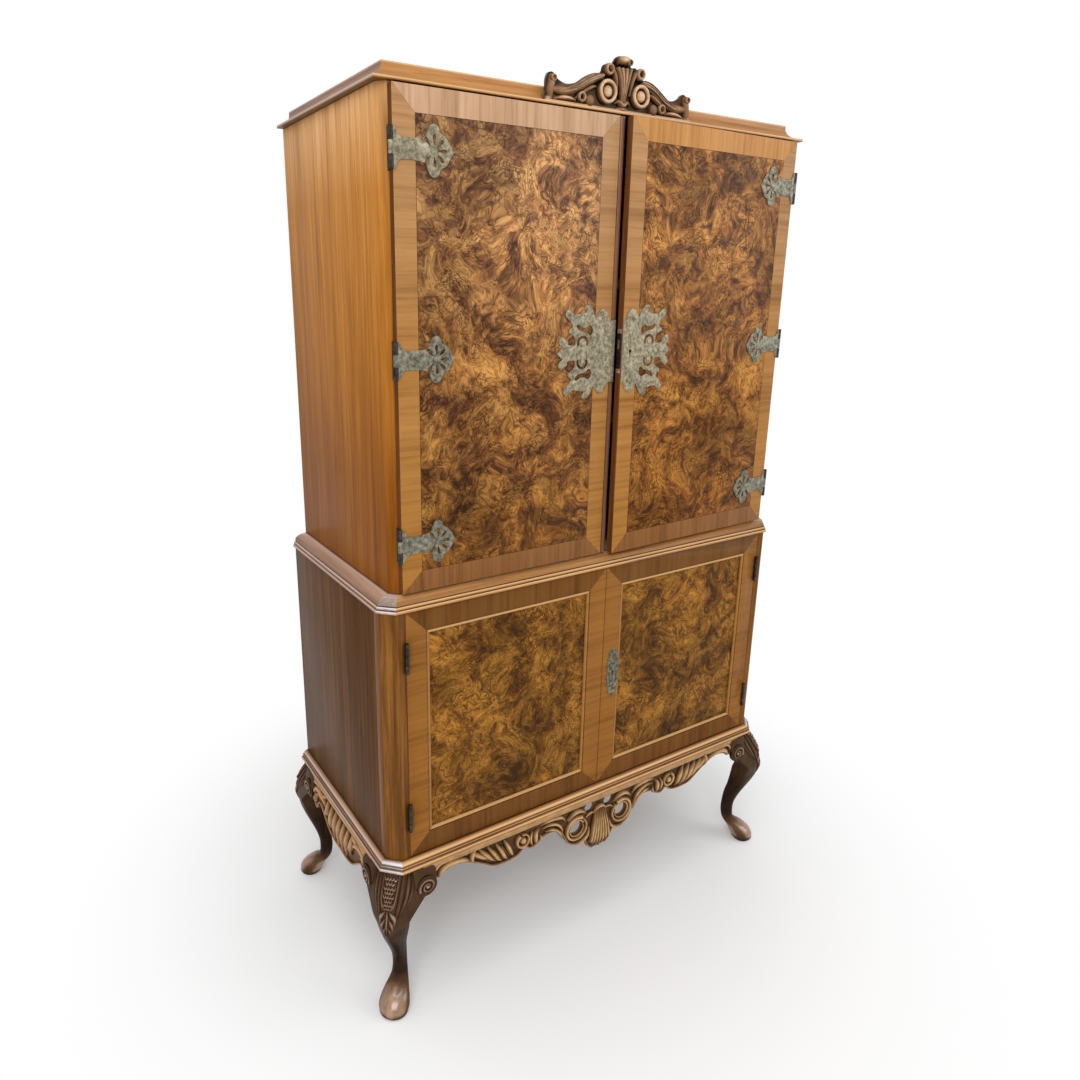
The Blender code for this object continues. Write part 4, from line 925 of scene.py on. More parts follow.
def both_ways(upper: list[Point]) -> list[Point]:
    """Whole outline from its upper half, which ends on the middle line."""
    return upper + [(u, -v) for u, v in reversed(upper[:-1])]


def swept_plan(rings: Sequence[Sequence[Point3]]) -> BMesh:
    """Solid drawn from ring to ring: the first ring is filled, extruded through the others and closed.

    Args:
        rings: rings of points with the same number of points.

    Returns:
        The closed mesh.
    """
    bm = bmesh.new()
    count = len(rings[0])
    bmesh.ops.create_circle(bm, segments=count, radius=1.0, cap_ends=True)
    bm.verts.ensure_lookup_table()
    loop = list(bm.verts)
    for vert, point in zip(loop, rings[0]):
        vert.co = point
    for ring in rings[1:]:
        edges = [bm.edges.get((loop[i - 1], loop[i])) for i in range(count)]
        drawn = bmesh.ops.extrude_edge_only(bm, edges=edges)["geom"]
        new = {item for item in drawn if isinstance(item, bmesh.types.BMVert)}
        loop = [next(edge.other_vert(vert) for edge in vert.link_edges if edge.other_vert(vert) in new)
                for vert in loop]
        for vert, point in zip(loop, ring):
            vert.co = point
    bmesh.ops.contextual_create(bm, geom=loop)
    bmesh.ops.recalc_face_normals(bm, faces=bm.faces)
    return bm


def filled_plate(loops: Sequence[Sequence[Point]], depth: float, edge: float) -> BMesh:
    """Flat plate in drawing coordinates, its face at 0 and its back behind it.

    Args:
        loops: outer outline and holes.
        depth: thickness.
        edge: width of the rounding of the face's edges.

    Returns:
        The closed mesh.
    """
    bm = bmesh.new()
    edges = []
    for loop in loops:
        verts = [bm.verts.new((u, v, 0.0)) for u, v in loop]
        edges += [bm.edges.new((verts[i - 1], verts[i])) for i in range(len(verts))]
    bmesh.ops.triangle_fill(bm, use_beauty=True, use_dissolve=False, edges=edges)
    rims = [rim for rim in bm.edges if rim.is_boundary]
    drawn = bmesh.ops.extrude_face_region(bm, geom=list(bm.faces))["geom"]
    moved = [item for item in drawn if isinstance(item, bmesh.types.BMVert)]
    bmesh.ops.translate(bm, verts=moved, vec=(0.0, 0.0, -depth))
    round_off(bm, rims, edge)
    bmesh.ops.recalc_face_normals(bm, faces=bm.faces)
    return bm


def turned_boss(profile: Sequence[Point], steps: int = 24) -> BMesh:
    """Boss turned about its middle, in drawing coordinates.

    Args:
        profile: radius and height from the outer rim to the middle, where the radius is 0.
        steps: faces round it.

    Returns:
        The closed mesh.
    """
    bm = bmesh.new()
    line = [(profile[0][0], ROOT)] + list(profile)
    verts = [bm.verts.new((radius, 0.0, height)) for radius, height in line]
    chain = [bm.verts.new((0.0, 0.0, ROOT))] + verts
    edges = [bm.edges.new(pair) for pair in zip(chain, chain[1:])]
    bmesh.ops.spin(bm, geom=chain + edges, cent=(0.0, 0.0, 0.0), axis=(0.0, 0.0, 1.0), angle=2 * math.pi,
                   steps=steps, use_merge=True, use_duplicate=False)
    bmesh.ops.remove_doubles(bm, verts=bm.verts, dist=1e-6)
    bmesh.ops.recalc_face_normals(bm, faces=bm.faces)
    return bm


class Carving:
    """Carved relief in drawing coordinates: across, up and out of the ground."""

    def __init__(self) -> None:
        """Starts an empty carving."""
        self.bm = bmesh.new()
        # Relief of each vertex, which the looks read as painted shade and highlight.
        self.relief: list[float] = []

    def take(self, bm: BMesh, values: Sequence[float]) -> None:
        """Takes a form in and frees it.

        Args:
            bm: the form.
            values: relief value of each vertex.
        """
        self.relief += values
        mesh = bpy.data.meshes.new("form")
        bm.to_mesh(mesh)
        bm.free()
        self.bm.from_mesh(mesh)
        bpy.data.meshes.remove(mesh)

    def add(self, bm: BMesh, shade: Callable[[Vector], float]) -> None:
        """Takes in a form, its relief from 0 in hollows to 1 on top given by position: painted shade to painted
        highlight.
        """
        self.take(bm, [shade(vert.co) for vert in bm.verts])

    def stroke(self, points: Sequence[tuple], steps: int = 5, sides: int = 10, ground: float = 0.0,
               light: float = 1.0) -> None:
        """Rounded bar along a smooth path.

        Args:
            points: millimetres across, up, half width and height of each point of the path.
            steps: pieces between two points.
            sides: faces round the bar.
            ground: millimetres that the bar's middle stands above the ground.
            light: relief value of its crown.
        """
        line = [tuple(value / 1000 for value in point) for point in smooth_curve(points, steps)]
        rings = []
        for i, (u, v, half, height) in enumerate(line):
            before, after = line[max(i - 1, 0)], line[min(i + 1, len(line) - 1)]
            along = Vector((after[0] - before[0], after[1] - before[1]))
            if along.length < 1e-7:
                along = Vector((0.0, 1.0))
            along.normalize()
            ring = []
            for k in range(sides):
                turn = 2 * math.pi * k / sides
                side = max(half, THINNEST) * math.cos(turn)
                ring.append((u - along.y * side, v + along.x * side,
                             ground / 1000 + max(height, THINNEST) * math.sin(turn)))
            rings.append(ring)
        top = max(point[3] for point in line)
        self.add(swept_plan(rings), lambda co: light * max(0.0, (co.z - ground / 1000) / top))

    def strokes(self, *paths: Sequence[tuple]) -> None:
        """Plain strokes along several paths."""
        for points in paths:
            self.stroke(points)

    def volute(self, middle: Point, outer: float, inner: float, start: float, sweep: float, half: float,
               height: float, light: float = 1.0, ground: float = 0.0) -> None:
        """Scroll that winds in to its eye.

        Args:
            middle: millimetres across and up of its middle.
            outer: starting radius.
            inner: ending radius.
            start: starting angle in degrees.
            sweep: degrees wound, negative for clockwise.
            half: half width of the bar where it starts.
            height: height of the bar where it starts.
            light: relief value of its crown.
            ground: millimetres that its middle stands above the ground.
        """
        count = max(6, int(abs(sweep) / 30))
        points = []
        for i in range(count + 1):
            share = i / count
            turn = math.radians(start + sweep * share)
            radius = outer + (inner - outer) * share
            points.append((middle[0] + radius * math.cos(turn), middle[1] + radius * math.sin(turn),
                           half * (1.0 - 0.45 * share), height * (1.0 - 0.15 * share)))
        self.stroke(points, 3, ground=ground, light=light)

    def boss(self, middle: Point, profile: Sequence[Point], light: float = 1.0, steps: int = 24) -> None:
        """Turned boss.

        Args:
            middle: millimetres across and up of its middle.
            profile: millimetres of radius and height, from the rim to the middle.
            light: relief value of its top.
            steps: faces round it.
        """
        bm = turned_boss([(radius / 1000, height / 1000) for radius, height in profile], steps)
        top = max(height for _, height in profile) / 1000
        bmesh.ops.translate(bm, verts=bm.verts, vec=(middle[0] / 1000, middle[1] / 1000, 0.0))
        self.add(bm, lambda co: light * max(0.0, min(1.0, co.z / top)) ** 1.5)

    def mirror(self) -> None:
        """Adds the mirror image across the middle line."""
        other = self.bm.copy()
        flip(other)
        self.take(other, list(self.relief))

    def lay(self, place: Callable[[Vector], Vector]) -> None:
        """Lays the carving on its surface.

        Args:
            place: gives the place in the cabinet from drawing coordinates.
        """
        for vert in self.bm.verts:
            vert.co = place(vert.co)

    def finish(self, name: str, look: Material, body: Body, slot: Slot,
               replaces: Iterable[str] = (), smooth: float = 50.0) -> None:
        """Makes the piece with its relief.

        Args:
            name: name of the piece.
            look: its material.
            body: body that carries it.
            slot: slot of the record.
            replaces: nodes that it stands for.
            smooth: angle in degrees above which an edge stays sharp.
        """
        finish_piece(name, self.bm, (look,), body, slot, replaces, smooth, self.relief)


def on_front(face: float, across: float = 0.0, up: float = 0.0) -> Callable[[Vector], Vector]:
    """Mapping of drawing coordinates to a plane that faces the front.

    Args:
        face: its y.
        across: where the drawing's 0 lies, across.
        up: where it lies, up.

    Returns:
        The mapping.
    """
    return lambda co: Vector((co.x + across, face - co.z, co.y + up))


def on_side(face: float, side: int, across: float = 0.0, up: float = 0.0) -> Callable[[Vector], Vector]:
    """Mapping of drawing coordinates to a plane that faces left (-1) or right (1).

    Args:
        face: distance of the plane from the middle.
        side: -1 or 1.
        across: where the drawing's 0 lies, across.
        up: where it lies, up.

    Returns:
        The mapping.
    """
    return lambda co: Vector((side * (face + co.z), side * (co.x + across), co.y + up))


def swung(co: Vector) -> Vector:
    """Place of a point of the right upper door once that door stands ajar."""
    return Matrix.Rotation(AJAR, 4, "Z") @ (co - RIGHT_HINGE) + RIGHT_HINGE


@dataclass
class Plan:
    """Plan of a storey with canted front corners and a straight back."""

    width: float
    front: float
    back: float
    cant: float

    def points(self, overhang: float = 0.0) -> list[Point]:
        """Corners of the plan, widened by an overhang but not at the back.

        Args:
            overhang: distance outwards.

        Returns:
            The corners.
        """
        side = self.width / 2 + overhang
        shift = self.cant - overhang * math.tan(math.radians(22.5))
        corner = self.width / 2 - shift
        ahead = self.front - overhang
        return [(-side, self.back), (-side, self.front + shift), (-corner, ahead),
                (corner, ahead), (side, self.front + shift), (side, self.back)]


def sink_pocket(bm: BMesh, level: float, low: Point, high: Point, depth: float) -> None:
    """Sinks a small mortise up into a board's underside.

    Args:
        bm: the board.
        level: height of the underside.
        low: lowest x and y of the mortise.
        high: highest x and y.
        depth: depth of the mortise.
    """
    def underside() -> list[bmesh.types.BMFace]:
        """Faces of the board's underside."""
        return [face for face in bm.faces if face.normal.z < -0.99 and abs(face.calc_center_median().z - level) < 1e-5]

    for axis, value in ((0, low[0]), (0, high[0]), (1, low[1]), (1, high[1])):
        under = underside()
        geom = under + list({edge for face in under for edge in face.edges})
        geom += list({vert for face in under for vert in face.verts})
        at, along = Vector(), Vector()
        at[axis], along[axis] = value, 1.0
        bmesh.ops.bisect_plane(bm, geom=geom, dist=1e-7, plane_co=at, plane_no=along)
    floor = [face for face in underside() if low[0] < face.calc_center_median().x < high[0]
             and low[1] < face.calc_center_median().y < high[1]]
    drawn = bmesh.ops.extrude_face_region(bm, geom=floor)["geom"]
    raised = [item for item in drawn if isinstance(item, bmesh.types.BMVert)]
    bmesh.ops.translate(bm, verts=raised, vec=(0.0, 0.0, depth))
    bmesh.ops.delete(bm, geom=[face for face in floor if face.is_valid], context="FACES_ONLY")
    bmesh.ops.recalc_face_normals(bm, faces=bm.faces)


@dataclass
class Mouldings:
    """Cornice, waist board and base board, drawn up from their plans."""

    lower: Plan = field(default_factory=lambda: Plan(0.948, -0.2165, 0.2165, 0.022))
    upper: Plan = field(default_factory=lambda: Plan(0.900, -0.1985, 0.2165, 0.012))
    base_z: float = 0.3003
    base_height: float = 0.0187
    waist_z: float = 0.7983
    waist_height: float = 0.0277
    waist_lip: float = 0.0045
    cornice_z: float = 1.5968
    cornice_top: float = 1.627
    cornice_side: float = 0.4608
    cornice_front: float = -0.206
    cornice_recess: float = 0.0243
    waist_pocket: tuple = ((-0.0361, -0.2052), (-0.0253, -0.2002), 0.0069)
    cornice_pocket: tuple = ((-0.0495, -0.1960), (-0.0435, -0.1900), 0.0061)

    def base_board(self) -> tuple:
        """Board under the lower cupboard: a lip, a sunk line and a quarter round.

        Returns:
            The mesh and the tone of each height, its painted shade and highlight.
        """
        # Third number: tone, painted shade in the sunk line and a painted highlight on the lip, the small bead and the
        # quarter round.
        profile = [(0.0142, 0.0, 0.2), (0.015, 0.0008, 0.6), (0.015, 0.0030, 0.7), (0.015, 0.0052, 0.85),
                   (0.0142, 0.0060, 0.5), (0.0118, 0.0063, 0.26), (0.0112, 0.0072, 0.18), (0.0112, 0.0084, 0.30),
                   (0.0118, 0.0090, 0.5), (0.0122, 0.0100, 0.75), (0.0118, 0.0110, 0.5), (0.0108, 0.0116, 0.15)]
        for step in range(0, 7):
            turn = math.pi / 2 * step / 6
            profile.append((0.0018 + 0.0080 * math.cos(turn), 0.0118 + 0.0064 * math.sin(turn),
                            (0.3, 0.7, 0.85, 0.8, 0.7, 0.55, 0.35)[step]))
        profile.append((0.0015, self.base_height, 0.1))
        rings = [[(x, y, self.base_z + z) for x, y in self.lower.points(out)] for out, z, _ in profile]
        return swept_plan(rings), [(self.base_z + z, tone) for _, z, tone in profile]

    def waist_board(self) -> tuple:
        """Board between the cupboards: a lip, a rounded step, a sunk line and a long hollow.

        Returns:
            The mesh and the tone of each height, its painted shade and highlight.
        """
        # Third number: tone, painted shade in the sunk lines and at the long hollow's foot, a painted highlight on the
        # lip and the rounded step.
        profile = [(0.012, 0.0, 0.2), (0.0, 0.03, 0.6), (0.0, 0.09, 0.65), (0.0, 0.14, 0.8), (0.014, 0.175, 0.9),
                   (0.075, 0.185, 0.45), (0.095, 0.20, 0.1), (0.095, 0.215, 0.0), (0.075, 0.23, 0.1),
                   (0.062, 0.27, 0.5), (0.066, 0.32, 0.65), (0.090, 0.365, 0.8), (0.130, 0.395, 0.85),
                   (0.180, 0.405, 0.45), (0.200, 0.415, 0.1), (0.205, 0.44, 0.0), (0.180, 0.455, 0.1),
                   (0.178, 0.49, 0.5)]
        for step in range(1, 10):
            turn = math.pi / 2 * step / 9
            profile.append((0.178 + 0.74 * (1 - math.cos(turn)), 0.49 + 0.43 * math.sin(turn), 0.38 + 0.052 * step))
        profile += [(0.955, 0.93, 0.55), (0.975, 0.95, 0.4), (0.995, 0.985, 0.15), (1.0, 1.0, 0.05)]
        lip = self.lower.points(self.waist_lip)
        top = self.upper.points()
        rings = []
        for inward, rise, _ in profile:
            plan = [Vector(a).lerp(Vector(b), inward) for a, b in zip(lip, top)]
            rings.append([(x, y, self.waist_z + rise * self.waist_height) for x, y in plan])
        bm = swept_plan(rings)
        sink_pocket(bm, self.waist_z, *self.waist_pocket)
        return bm, [(self.waist_z + rise * self.waist_height, tone) for _, rise, tone in profile]

    def cornice(self) -> tuple:
        """Square-cornered top board: a thin lip, a hollow and a fillet.

        Returns:
            The mesh and the tone of each height, its painted shade and highlight.
        """
        # Third number: tone, painted shade in the step over the lip and at the hollow's foot, a painted highlight on
        # the lip and the top fillet.
        profile = [(0.0010, 0.0, 0.2), (0.0, 0.0010, 0.55), (0.0, 0.0026, 0.75), (0.0, 0.0040, 0.85),
                   (0.0006, 0.0050, 0.7), (0.0022, 0.0054, 0.1)]
        for step in range(0, 13):
            turn = math.pi / 2 * step / 12
            profile.append((0.0025 + 0.0218 * math.sin(turn), 0.0055 + 0.0197 * (1 - math.cos(turn)),
                            0.35 if step == 0 else 0.58))
        top = self.cornice_top - self.cornice_z
        profile += [(self.cornice_recess, top - 0.0030, 0.62), (self.cornice_recess, top - 0.0010, 0.85),
                    (self.cornice_recess + 0.0008, top, 0.6)]
        rings = []
        for recess, z, _ in profile:
            side = self.cornice_side - recess
            front = self.cornice_front + recess
            rings.append([(x, y, self.cornice_z + z) for x, y in
                          ((-side, self.upper.back), (-side, front), (side, front), (side, self.upper.back))])
        bm = swept_plan(rings)
        sink_pocket(bm, self.cornice_z, *self.cornice_pocket)
        return bm, [(self.cornice_z + z, tone) for _, z, tone in profile]

    def build(self) -> None:
        """Builds and dresses the three boards."""
        polish = Polish(0.30, 0.06, 0.14, 0.24)
        front = MouldedWood("moulding_front", grain=Grain.ALONG_X, dark=(0.250, 0.100, 0.026),
                            middle=(0.470, 0.212, 0.062), light=(0.600, 0.315, 0.115), polish=polish).material()
        # The side copy carries a pinkish painted reflection and the canted copy a pale greyish painted highlight, both
        # copies of the front's wood.
        side = MouldedWood("moulding_side_painted_reflection", grain=Grain.ALONG_Y, dark=(0.220, 0.110, 0.064),
                           middle=(0.370, 0.208, 0.134), light=(0.520, 0.300, 0.180), polish=polish).material()
        cant = MouldedWood("moulding_cant_painted_highlight", grain=Grain.ALONG_X, dark=(0.230, 0.150, 0.105),
                           middle=(0.420, 0.305, 0.235), light=(0.640, 0.520, 0.440),
                           polish=Polish(0.24, 0.12, 0.12, 0.3)).material()
        for name, (bm, tones) in (("base_board", self.base_board()), ("waist_board", self.waist_board()),
                                  ("cornice", self.cornice())):
            # Faces that look ahead take the front copy, faces that look sideways the copy with painted reflection,
            # canted faces the copy with painted highlight.
            for face in bm.faces:
                across, ahead = abs(face.normal.x), abs(face.normal.y)
                face.material_index = 2 if min(across, ahead) > 0.3 * max(across, ahead) > 0.05 else int(across > ahead)
            # Each vertex takes the tone of its nearest row as relief: painted shade and highlight.
            relief = [min(tones, key=lambda row: abs(row[0] - vert.co.z))[1] for vert in bm.verts]
            finish_piece(f"{name}_moulded", bm, (front, side, cant), Body.CABINET, Slot.BANDED, (name,), 40.0, relief)


@dataclass
class Carcass:
    """Sides, posts, backs, floors and shelves of both cupboards."""

    edge: float = 0.0008
    shortest: float = 0.2

    def build(self) -> None:
        """Eases the outer boards' edges and dresses every board."""
        # Painted light up the upper sides: painted shade low down and a painted bluish sheen towards the top.
        painted_sheen_by_height = ((0.40, (0.62, 0.53, 0.36)), (0.50, (0.68, 0.60, 0.46)), (0.62, 1.0), (0.73, (1.16, 1.26, 1.60)),
                  (0.76, (1.38, 1.74, 3.60)), (0.79, (1.70, 2.40, 6.60)))
        upper = StraightWood("side_upper", dark=(0.270, 0.094, 0.012), middle=(0.425, 0.156, 0.022),
                             light=(0.560, 0.232, 0.042), polish=Polish(0.30, 0.0, 0.12, 0.03), pores=0.25,
                             heights=painted_sheen_by_height).material()
        lower = StraightWood("side_lower", dark=(0.066, 0.027, 0.009), middle=(0.108, 0.045, 0.015),
                             light=(0.175, 0.076, 0.026), polish=Polish(0.30, 0.0, 0.14, 0.03),
                             pores=0.25).material()
        post = StraightWood("post", dark=(0.050, 0.018, 0.003), middle=(0.155, 0.056, 0.008),
                            light=(0.340, 0.140, 0.026)).material()
        inside = dict(dark=(0.150, 0.078, 0.034), middle=(0.270, 0.152, 0.072), light=(0.370, 0.225, 0.115),
                      polish=Polish(0.50, 0.0, 0.3))
        inner = StraightWood("inner_boards", grain=Grain.ALONG_X, **inside).material()
        back = StraightWood("inner_backs", grain=Grain.ALONG_Z, **inside).material()
        for hand in HANDS:
            for node, look, slot in ((f"upper_side_{hand}", upper, Slot.SIDE),
                                     (f"lower_side_{hand}", lower, Slot.SIDE),
                                     (f"lower_post_{hand}", post, Slot.BANDED)):
                bm = node_copy(node)
                ease_edges(bm, self.edge, self.shortest)
                finish_piece(f"{node}_board", bm, (look,), Body.CABINET, slot, (node,))
        dress_nodes(inner, "upper_floor", "upper_shelf_1", "upper_shelf_2", "lower_shelf", "stand_back_rail")
        dress_nodes(back, "upper_back", "lower_back")


@dataclass
class UpperDoors:
    """The two burr slabs and the meeting bead."""

    outer: float = 0.436
    left_edge: float = 0.0165
    right_edge: float = 0.0005
    foot: float = 0.8285
    head: float = 1.593
    face: float = -0.2135
    back: float = -0.199
    nose: float = 0.0058
    bead_outer: float = 0.002
    bead_width: float = 0.0142
    bead_setback: float = 0.0015

    def slab(self, hand: str, edge_wood: Material) -> None:
        """One slab with eased edges, veneered on its face.

        Args:
            hand: left or right.
            edge_wood: material of its edges and back.
        """
        left = hand == "left"
        panel = (Panel(-self.outer, -self.left_edge, self.foot, self.head) if left
                 else Panel(self.right_edge, self.outer, self.foot, self.head, True))
        # Painted sheen towards each slab's head, strongest and bluest on the left slab.
        lift = (((0.84, 0.78, 0.58), (1.06, 1.10, 1.32), (1.42, 1.70, 2.90)) if left
                else ((0.80, 0.68, 0.42), (0.96, 0.94, 0.94), (1.18, 1.20, 1.45)))
        rail = ((0.240, 0.100, 0.030), (0.515, 0.318, 0.190) if left else (0.500, 0.238, 0.078))
        look = BandedVeneer(f"upper_veneer_{hand}", panel=panel, burr=BurrTones(), lift=lift, rail=rail).material()
        bm = node_copy(f"upper_door_{hand}")
        ease_edges(bm, 0.0007, 0.3)
        part_faces(bm, -0.4)
        finish_piece(f"upper_slab_{hand}", bm, (look, edge_wood), Body.UPPER_LEFT if left else Body.UPPER_RIGHT,
                     Slot.BURR, (f"upper_door_{hand}",))

    def bead(self) -> None:
        """Rounded bead on the left slab's free edge, with a quirk beside its nose."""
        outer = -self.bead_outer
        inner = outer - self.bead_width
        front = self.face + self.bead_setback
        middle = Vector((outer - self.nose, front + self.nose))
        plan = ellipse(middle, (self.nose, -self.nose), [180 * step / 16 for step in range(17)])
        quirk = middle.x - self.nose
        plan += [(quirk - 0.0002, middle.y + 0.0006), (quirk - 0.0006, middle.y), (inner + 0.0004, middle.y),
                 (inner, middle.y + 0.0004), (inner, self.back), (outer, self.back)]
        rings = [[(x, y, z) for x, y in plan] for z in (self.foot, self.head)]
        wood = StraightWood("bead", dark=(0.070, 0.024, 0.008), middle=(0.150, 0.056, 0.018),
                            light=(0.260, 0.110, 0.040), polish=Polish(0.20, 0.25, 0.08, 0.4)).material()
        finish_piece("meeting_bead_rounded", swept_plan(rings), (wood,), Body.UPPER_LEFT, Slot.BANDED,
                     ("meeting_bead",), 50.0)

    def build(self) -> None:
        """Builds both slabs and the bead."""
        edge_wood = StraightWood("slab_edge", **PLAIN_VENEER).material()
        for hand in HANDS:
            self.slab(hand, edge_wood)
        self.bead()


@dataclass
class LowerDoors:
    """The two framed doors with their sunk burr panels."""

    meeting: float = 0.0007
    outer: float = 0.434
    foot: float = 0.3205
    head: float = 0.7965
    bead_start: float = 0.0397
    inner_lean: float = 0.7

    def build(self) -> None:
        """Builds frames and panels."""
        tones = BurrTones(vein=(0.026, 0.010, 0.003), dark=(0.066, 0.026, 0.006), brown=(0.165, 0.064, 0.011),
                          warm=(0.305, 0.125, 0.018), gold=(0.470, 0.210, 0.034))
        inside = StraightWood("door_inside", **PLAIN_VENEER).material()
        for hand in HANDS:
            left = hand == "left"
            ends = (-self.outer, -self.meeting) if left else (self.meeting, self.outer)
            body = Body.LOWER_LEFT if left else Body.LOWER_RIGHT
            panel = Panel(*ends, self.foot, self.head)
            frame_look = BandedVeneer(f"frame_veneer_{hand}", panel=panel, bead=self.bead_start,
                                      stile=((0.270, 0.108, 0.020), (0.280, 0.114, 0.022), (0.290, 0.122, 0.026)),
                                      rail=((0.155, 0.060, 0.012), (0.165, 0.068, 0.015))).material()
            bm = node_copy(f"lower_door_{hand}")
            ease_edges(bm, 0.0006, 0.3, 60.0)
            part_faces(bm, self.inner_lean)
            finish_piece(f"lower_frame_{hand}", bm, (frame_look, inside), body, Slot.BANDED,
                         (f"lower_door_{hand}",), 32.0)
            # lift paints a slight sheen towards the panel's head.
            burr = BandedVeneer(f"panel_veneer_{hand}", panel=panel, band=0.0, burr=tones, lift=(0.92, 1.0, 1.04),
                                figure_turn=0.7 if left else -0.6, figure_scale=1.15).material()
            bm = node_copy(f"lower_panel_{hand}")
            part_faces(bm, self.inner_lean)
            finish_piece(f"lower_field_{hand}", bm, (burr, inside), body, Slot.BURR, (f"lower_panel_{hand}",))


@dataclass
class CarvedAprons:
    """Pierced front apron and gadrooned side aprons under the base board."""

    base: float = 0.2998
    front_face: float = -0.2345
    side_face: float = 0.492
    thick: float = 0.013
    sunk: float = 0.008
    front_half: float = 0.4164
    side_half: float = 0.1589
    ground_tone: float = 0.34
    front_edge: tuple = ((0.0, 127), (0.040, 126), (0.066, 117), (0.096, 98), (0.150, 99), (0.195, 88),
                         (0.240, 56), (0.290, 45), (0.350, 47), (0.390, 58), (0.425, 61), (0.458, 52),
                         (0.490, 63), (0.540, 68), (0.625, 66), (0.680, 53), (0.735, 39), (0.800, 27),
                         (0.860, 25), (0.920, 33), (0.960, 40), (1.0, 37))
    side_edge: tuple = ((0.0, 92), (0.20, 93), (0.38, 86), (0.52, 70), (0.66, 54), (0.76, 58), (0.83, 76),
                        (0.90, 66), (1.0, 42))
    eyes: tuple = ((0.1441, 59.5, 14.8, 14.8), (0.0612, 24.0, 11.5, 11.0))

    def outline(self, edge: Sequence[Point], half: float, steps: int) -> list[Point]:
        """Outline of an apron, mirrored about its middle.

        Args:
            edge: share of the half span and drop in millimetres of its lower edge.
            half: half span.
            steps: pieces between two points.

        Returns:
            The outline.
        """
        lower = smooth_curve([(share * half, self.base - drop / 1000) for share, drop in edge], steps)
        return both_hands(lower + [(half, self.base)])

    def rim(self, carving: Carving, edge: Sequence[Point], half: float, lift: float) -> None:
        """Raised rim along the lower edge.

        Args:
            carving: carving to add to.
            edge: lower edge.
            half: half span.
            lift: millimetres between the edge and the rim's middle.
        """
        points = [(share * half * 1000, self.base * 1000 - drop + lift, 2.4, 5.5) for share, drop in edge]
        carving.stroke(points, 4, light=0.75)

    def fan(self, carving: Carving) -> None:
        """Shell of plump ribs in the middle of the front apron.

        Args:
            carving: carving to add to.
        """
        for i in range(-3, 4):
            foot = 177.0 + 2.2 * i * i
            carving.stroke([(4.2 * i, 268, 1.8, 6.0), (5.0 * i, 248, 2.6, 11.0), (6.6 * i, 222, 3.3, 14.0),
                            (7.8 * i, 198, 3.8, 13.0), (8.2 * i, foot, 2.4, 7.0)])
        carving.stroke([(-17, 262, 2.0, 6), (-9, 271, 3.6, 9), (0, 274, 4.2, 10), (9, 271, 3.6, 9),
                        (17, 262, 2.0, 6)])

    def front_half_carving(self, carving: Carving) -> None:
        """Right half of the front apron: scroll, leaves, bud, volute, acanthus and a long leaf.

        Args:
            carving: carving to add to.
        """
        carving.volute((60.0, 240.5), 26.0, 24.5, 120, -350, 5.2, 9.0)
        carving.volute((60.0, 240.5), 19.0, 17.6, 150, -350, 3.0, 6.5)
        carving.strokes(
            [(38, 269, 2.2, 6), (46, 277, 4.2, 9), (59, 282, 5.5, 11), (72, 279, 5.0, 10), (84, 268, 3.0, 7)],
            [(14, 262, 1.4, 5), (22, 264, 2.2, 6), (30, 262, 2.4, 6), (36, 257, 2.0, 5)],
            [(27, 232, 2.0, 6), (31, 216, 4.0, 9), (42, 206, 4.6, 9), (56, 203, 3.5, 8), (68, 206, 2.0, 6)],
            [(152, 283, 1.6, 5), (138, 287, 3.8, 8), (118, 287, 4.4, 9), (100, 282, 4.0, 8), (90, 270, 2.0, 5)],
            [(148, 274, 1.6, 5), (132, 277, 3.8, 8), (114, 272, 4.2, 9), (102, 260, 3.8, 8), (96, 246, 1.8, 5)],
            [(140, 264, 1.6, 5), (126, 264, 3.6, 8), (112, 257, 3.8, 8), (102, 244, 3.4, 7), (94, 230, 1.6, 5)],
            [(158, 278, 2.4, 6), (164, 270, 5.4, 9), (164, 257, 5.6, 9), (163, 245, 2.2, 5)],
            [(172, 277, 2.0, 5), (177, 266, 3.8, 8), (175, 253, 3.4, 7), (171, 246, 1.4, 4)],
            [(153, 262, 1.6, 4), (151, 256, 3.0, 7), (155, 247, 1.6, 4)])
        carving.volute((196, 267.5), 14.5, 13.0, 60, -340, 4.4, 10.0)
        carving.boss((196, 267.5), ((8.0, 2), (7.2, 6.5), (4.5, 9.6), (0, 10.6)))
        for k, rise in enumerate((0.0, -2.0, 0.0, 6.0, 15.0)):
            shift = 18.5 * k
            carving.stroke([(218 + 0.75 * shift, 242 + rise, 2.0, 5), (224 + 0.85 * shift, 252 + rise, 5.4, 10),
                            (231 + 0.92 * shift, 267 + 0.6 * rise, 5.8, 11), (238 + shift, 281 + 0.3 * rise, 4.2, 8),
                            (241 + shift, 287 + 0.1 * rise, 1.8, 5)])
            carving.stroke([(229 + 0.78 * shift, 244 + rise, 1.2, 4), (235 + 0.88 * shift, 256 + rise, 2.2, 7),
                            (243 + 0.96 * shift, 270 + 0.6 * rise, 2.0, 6)], 4, 8, light=0.7)
        carving.strokes([(306, 262, 2.0, 5), (313, 272, 5.0, 9), (312, 284, 5.6, 10), (306, 292, 3.6, 7)],
                        [(316, 270, 2.0, 5), (328, 279, 4.8, 9), (346, 284, 5.6, 10), (364, 284, 6.0, 10),
                         (378, 278, 6.4, 10), (386, 266, 3.4, 7)],
                        [(322, 288, 1.6, 5), (344, 293, 3.0, 7), (368, 295, 3.4, 7), (386, 290, 4.0, 8),
                         (395, 278, 4.0, 8), (396, 266, 2.0, 5)])

    def ground(self, carving: Carving, loops: list) -> None:
        """Sunk board that carries the carving.

        Args:
            carving: carving to add to.
            loops: its outline and holes.
        """
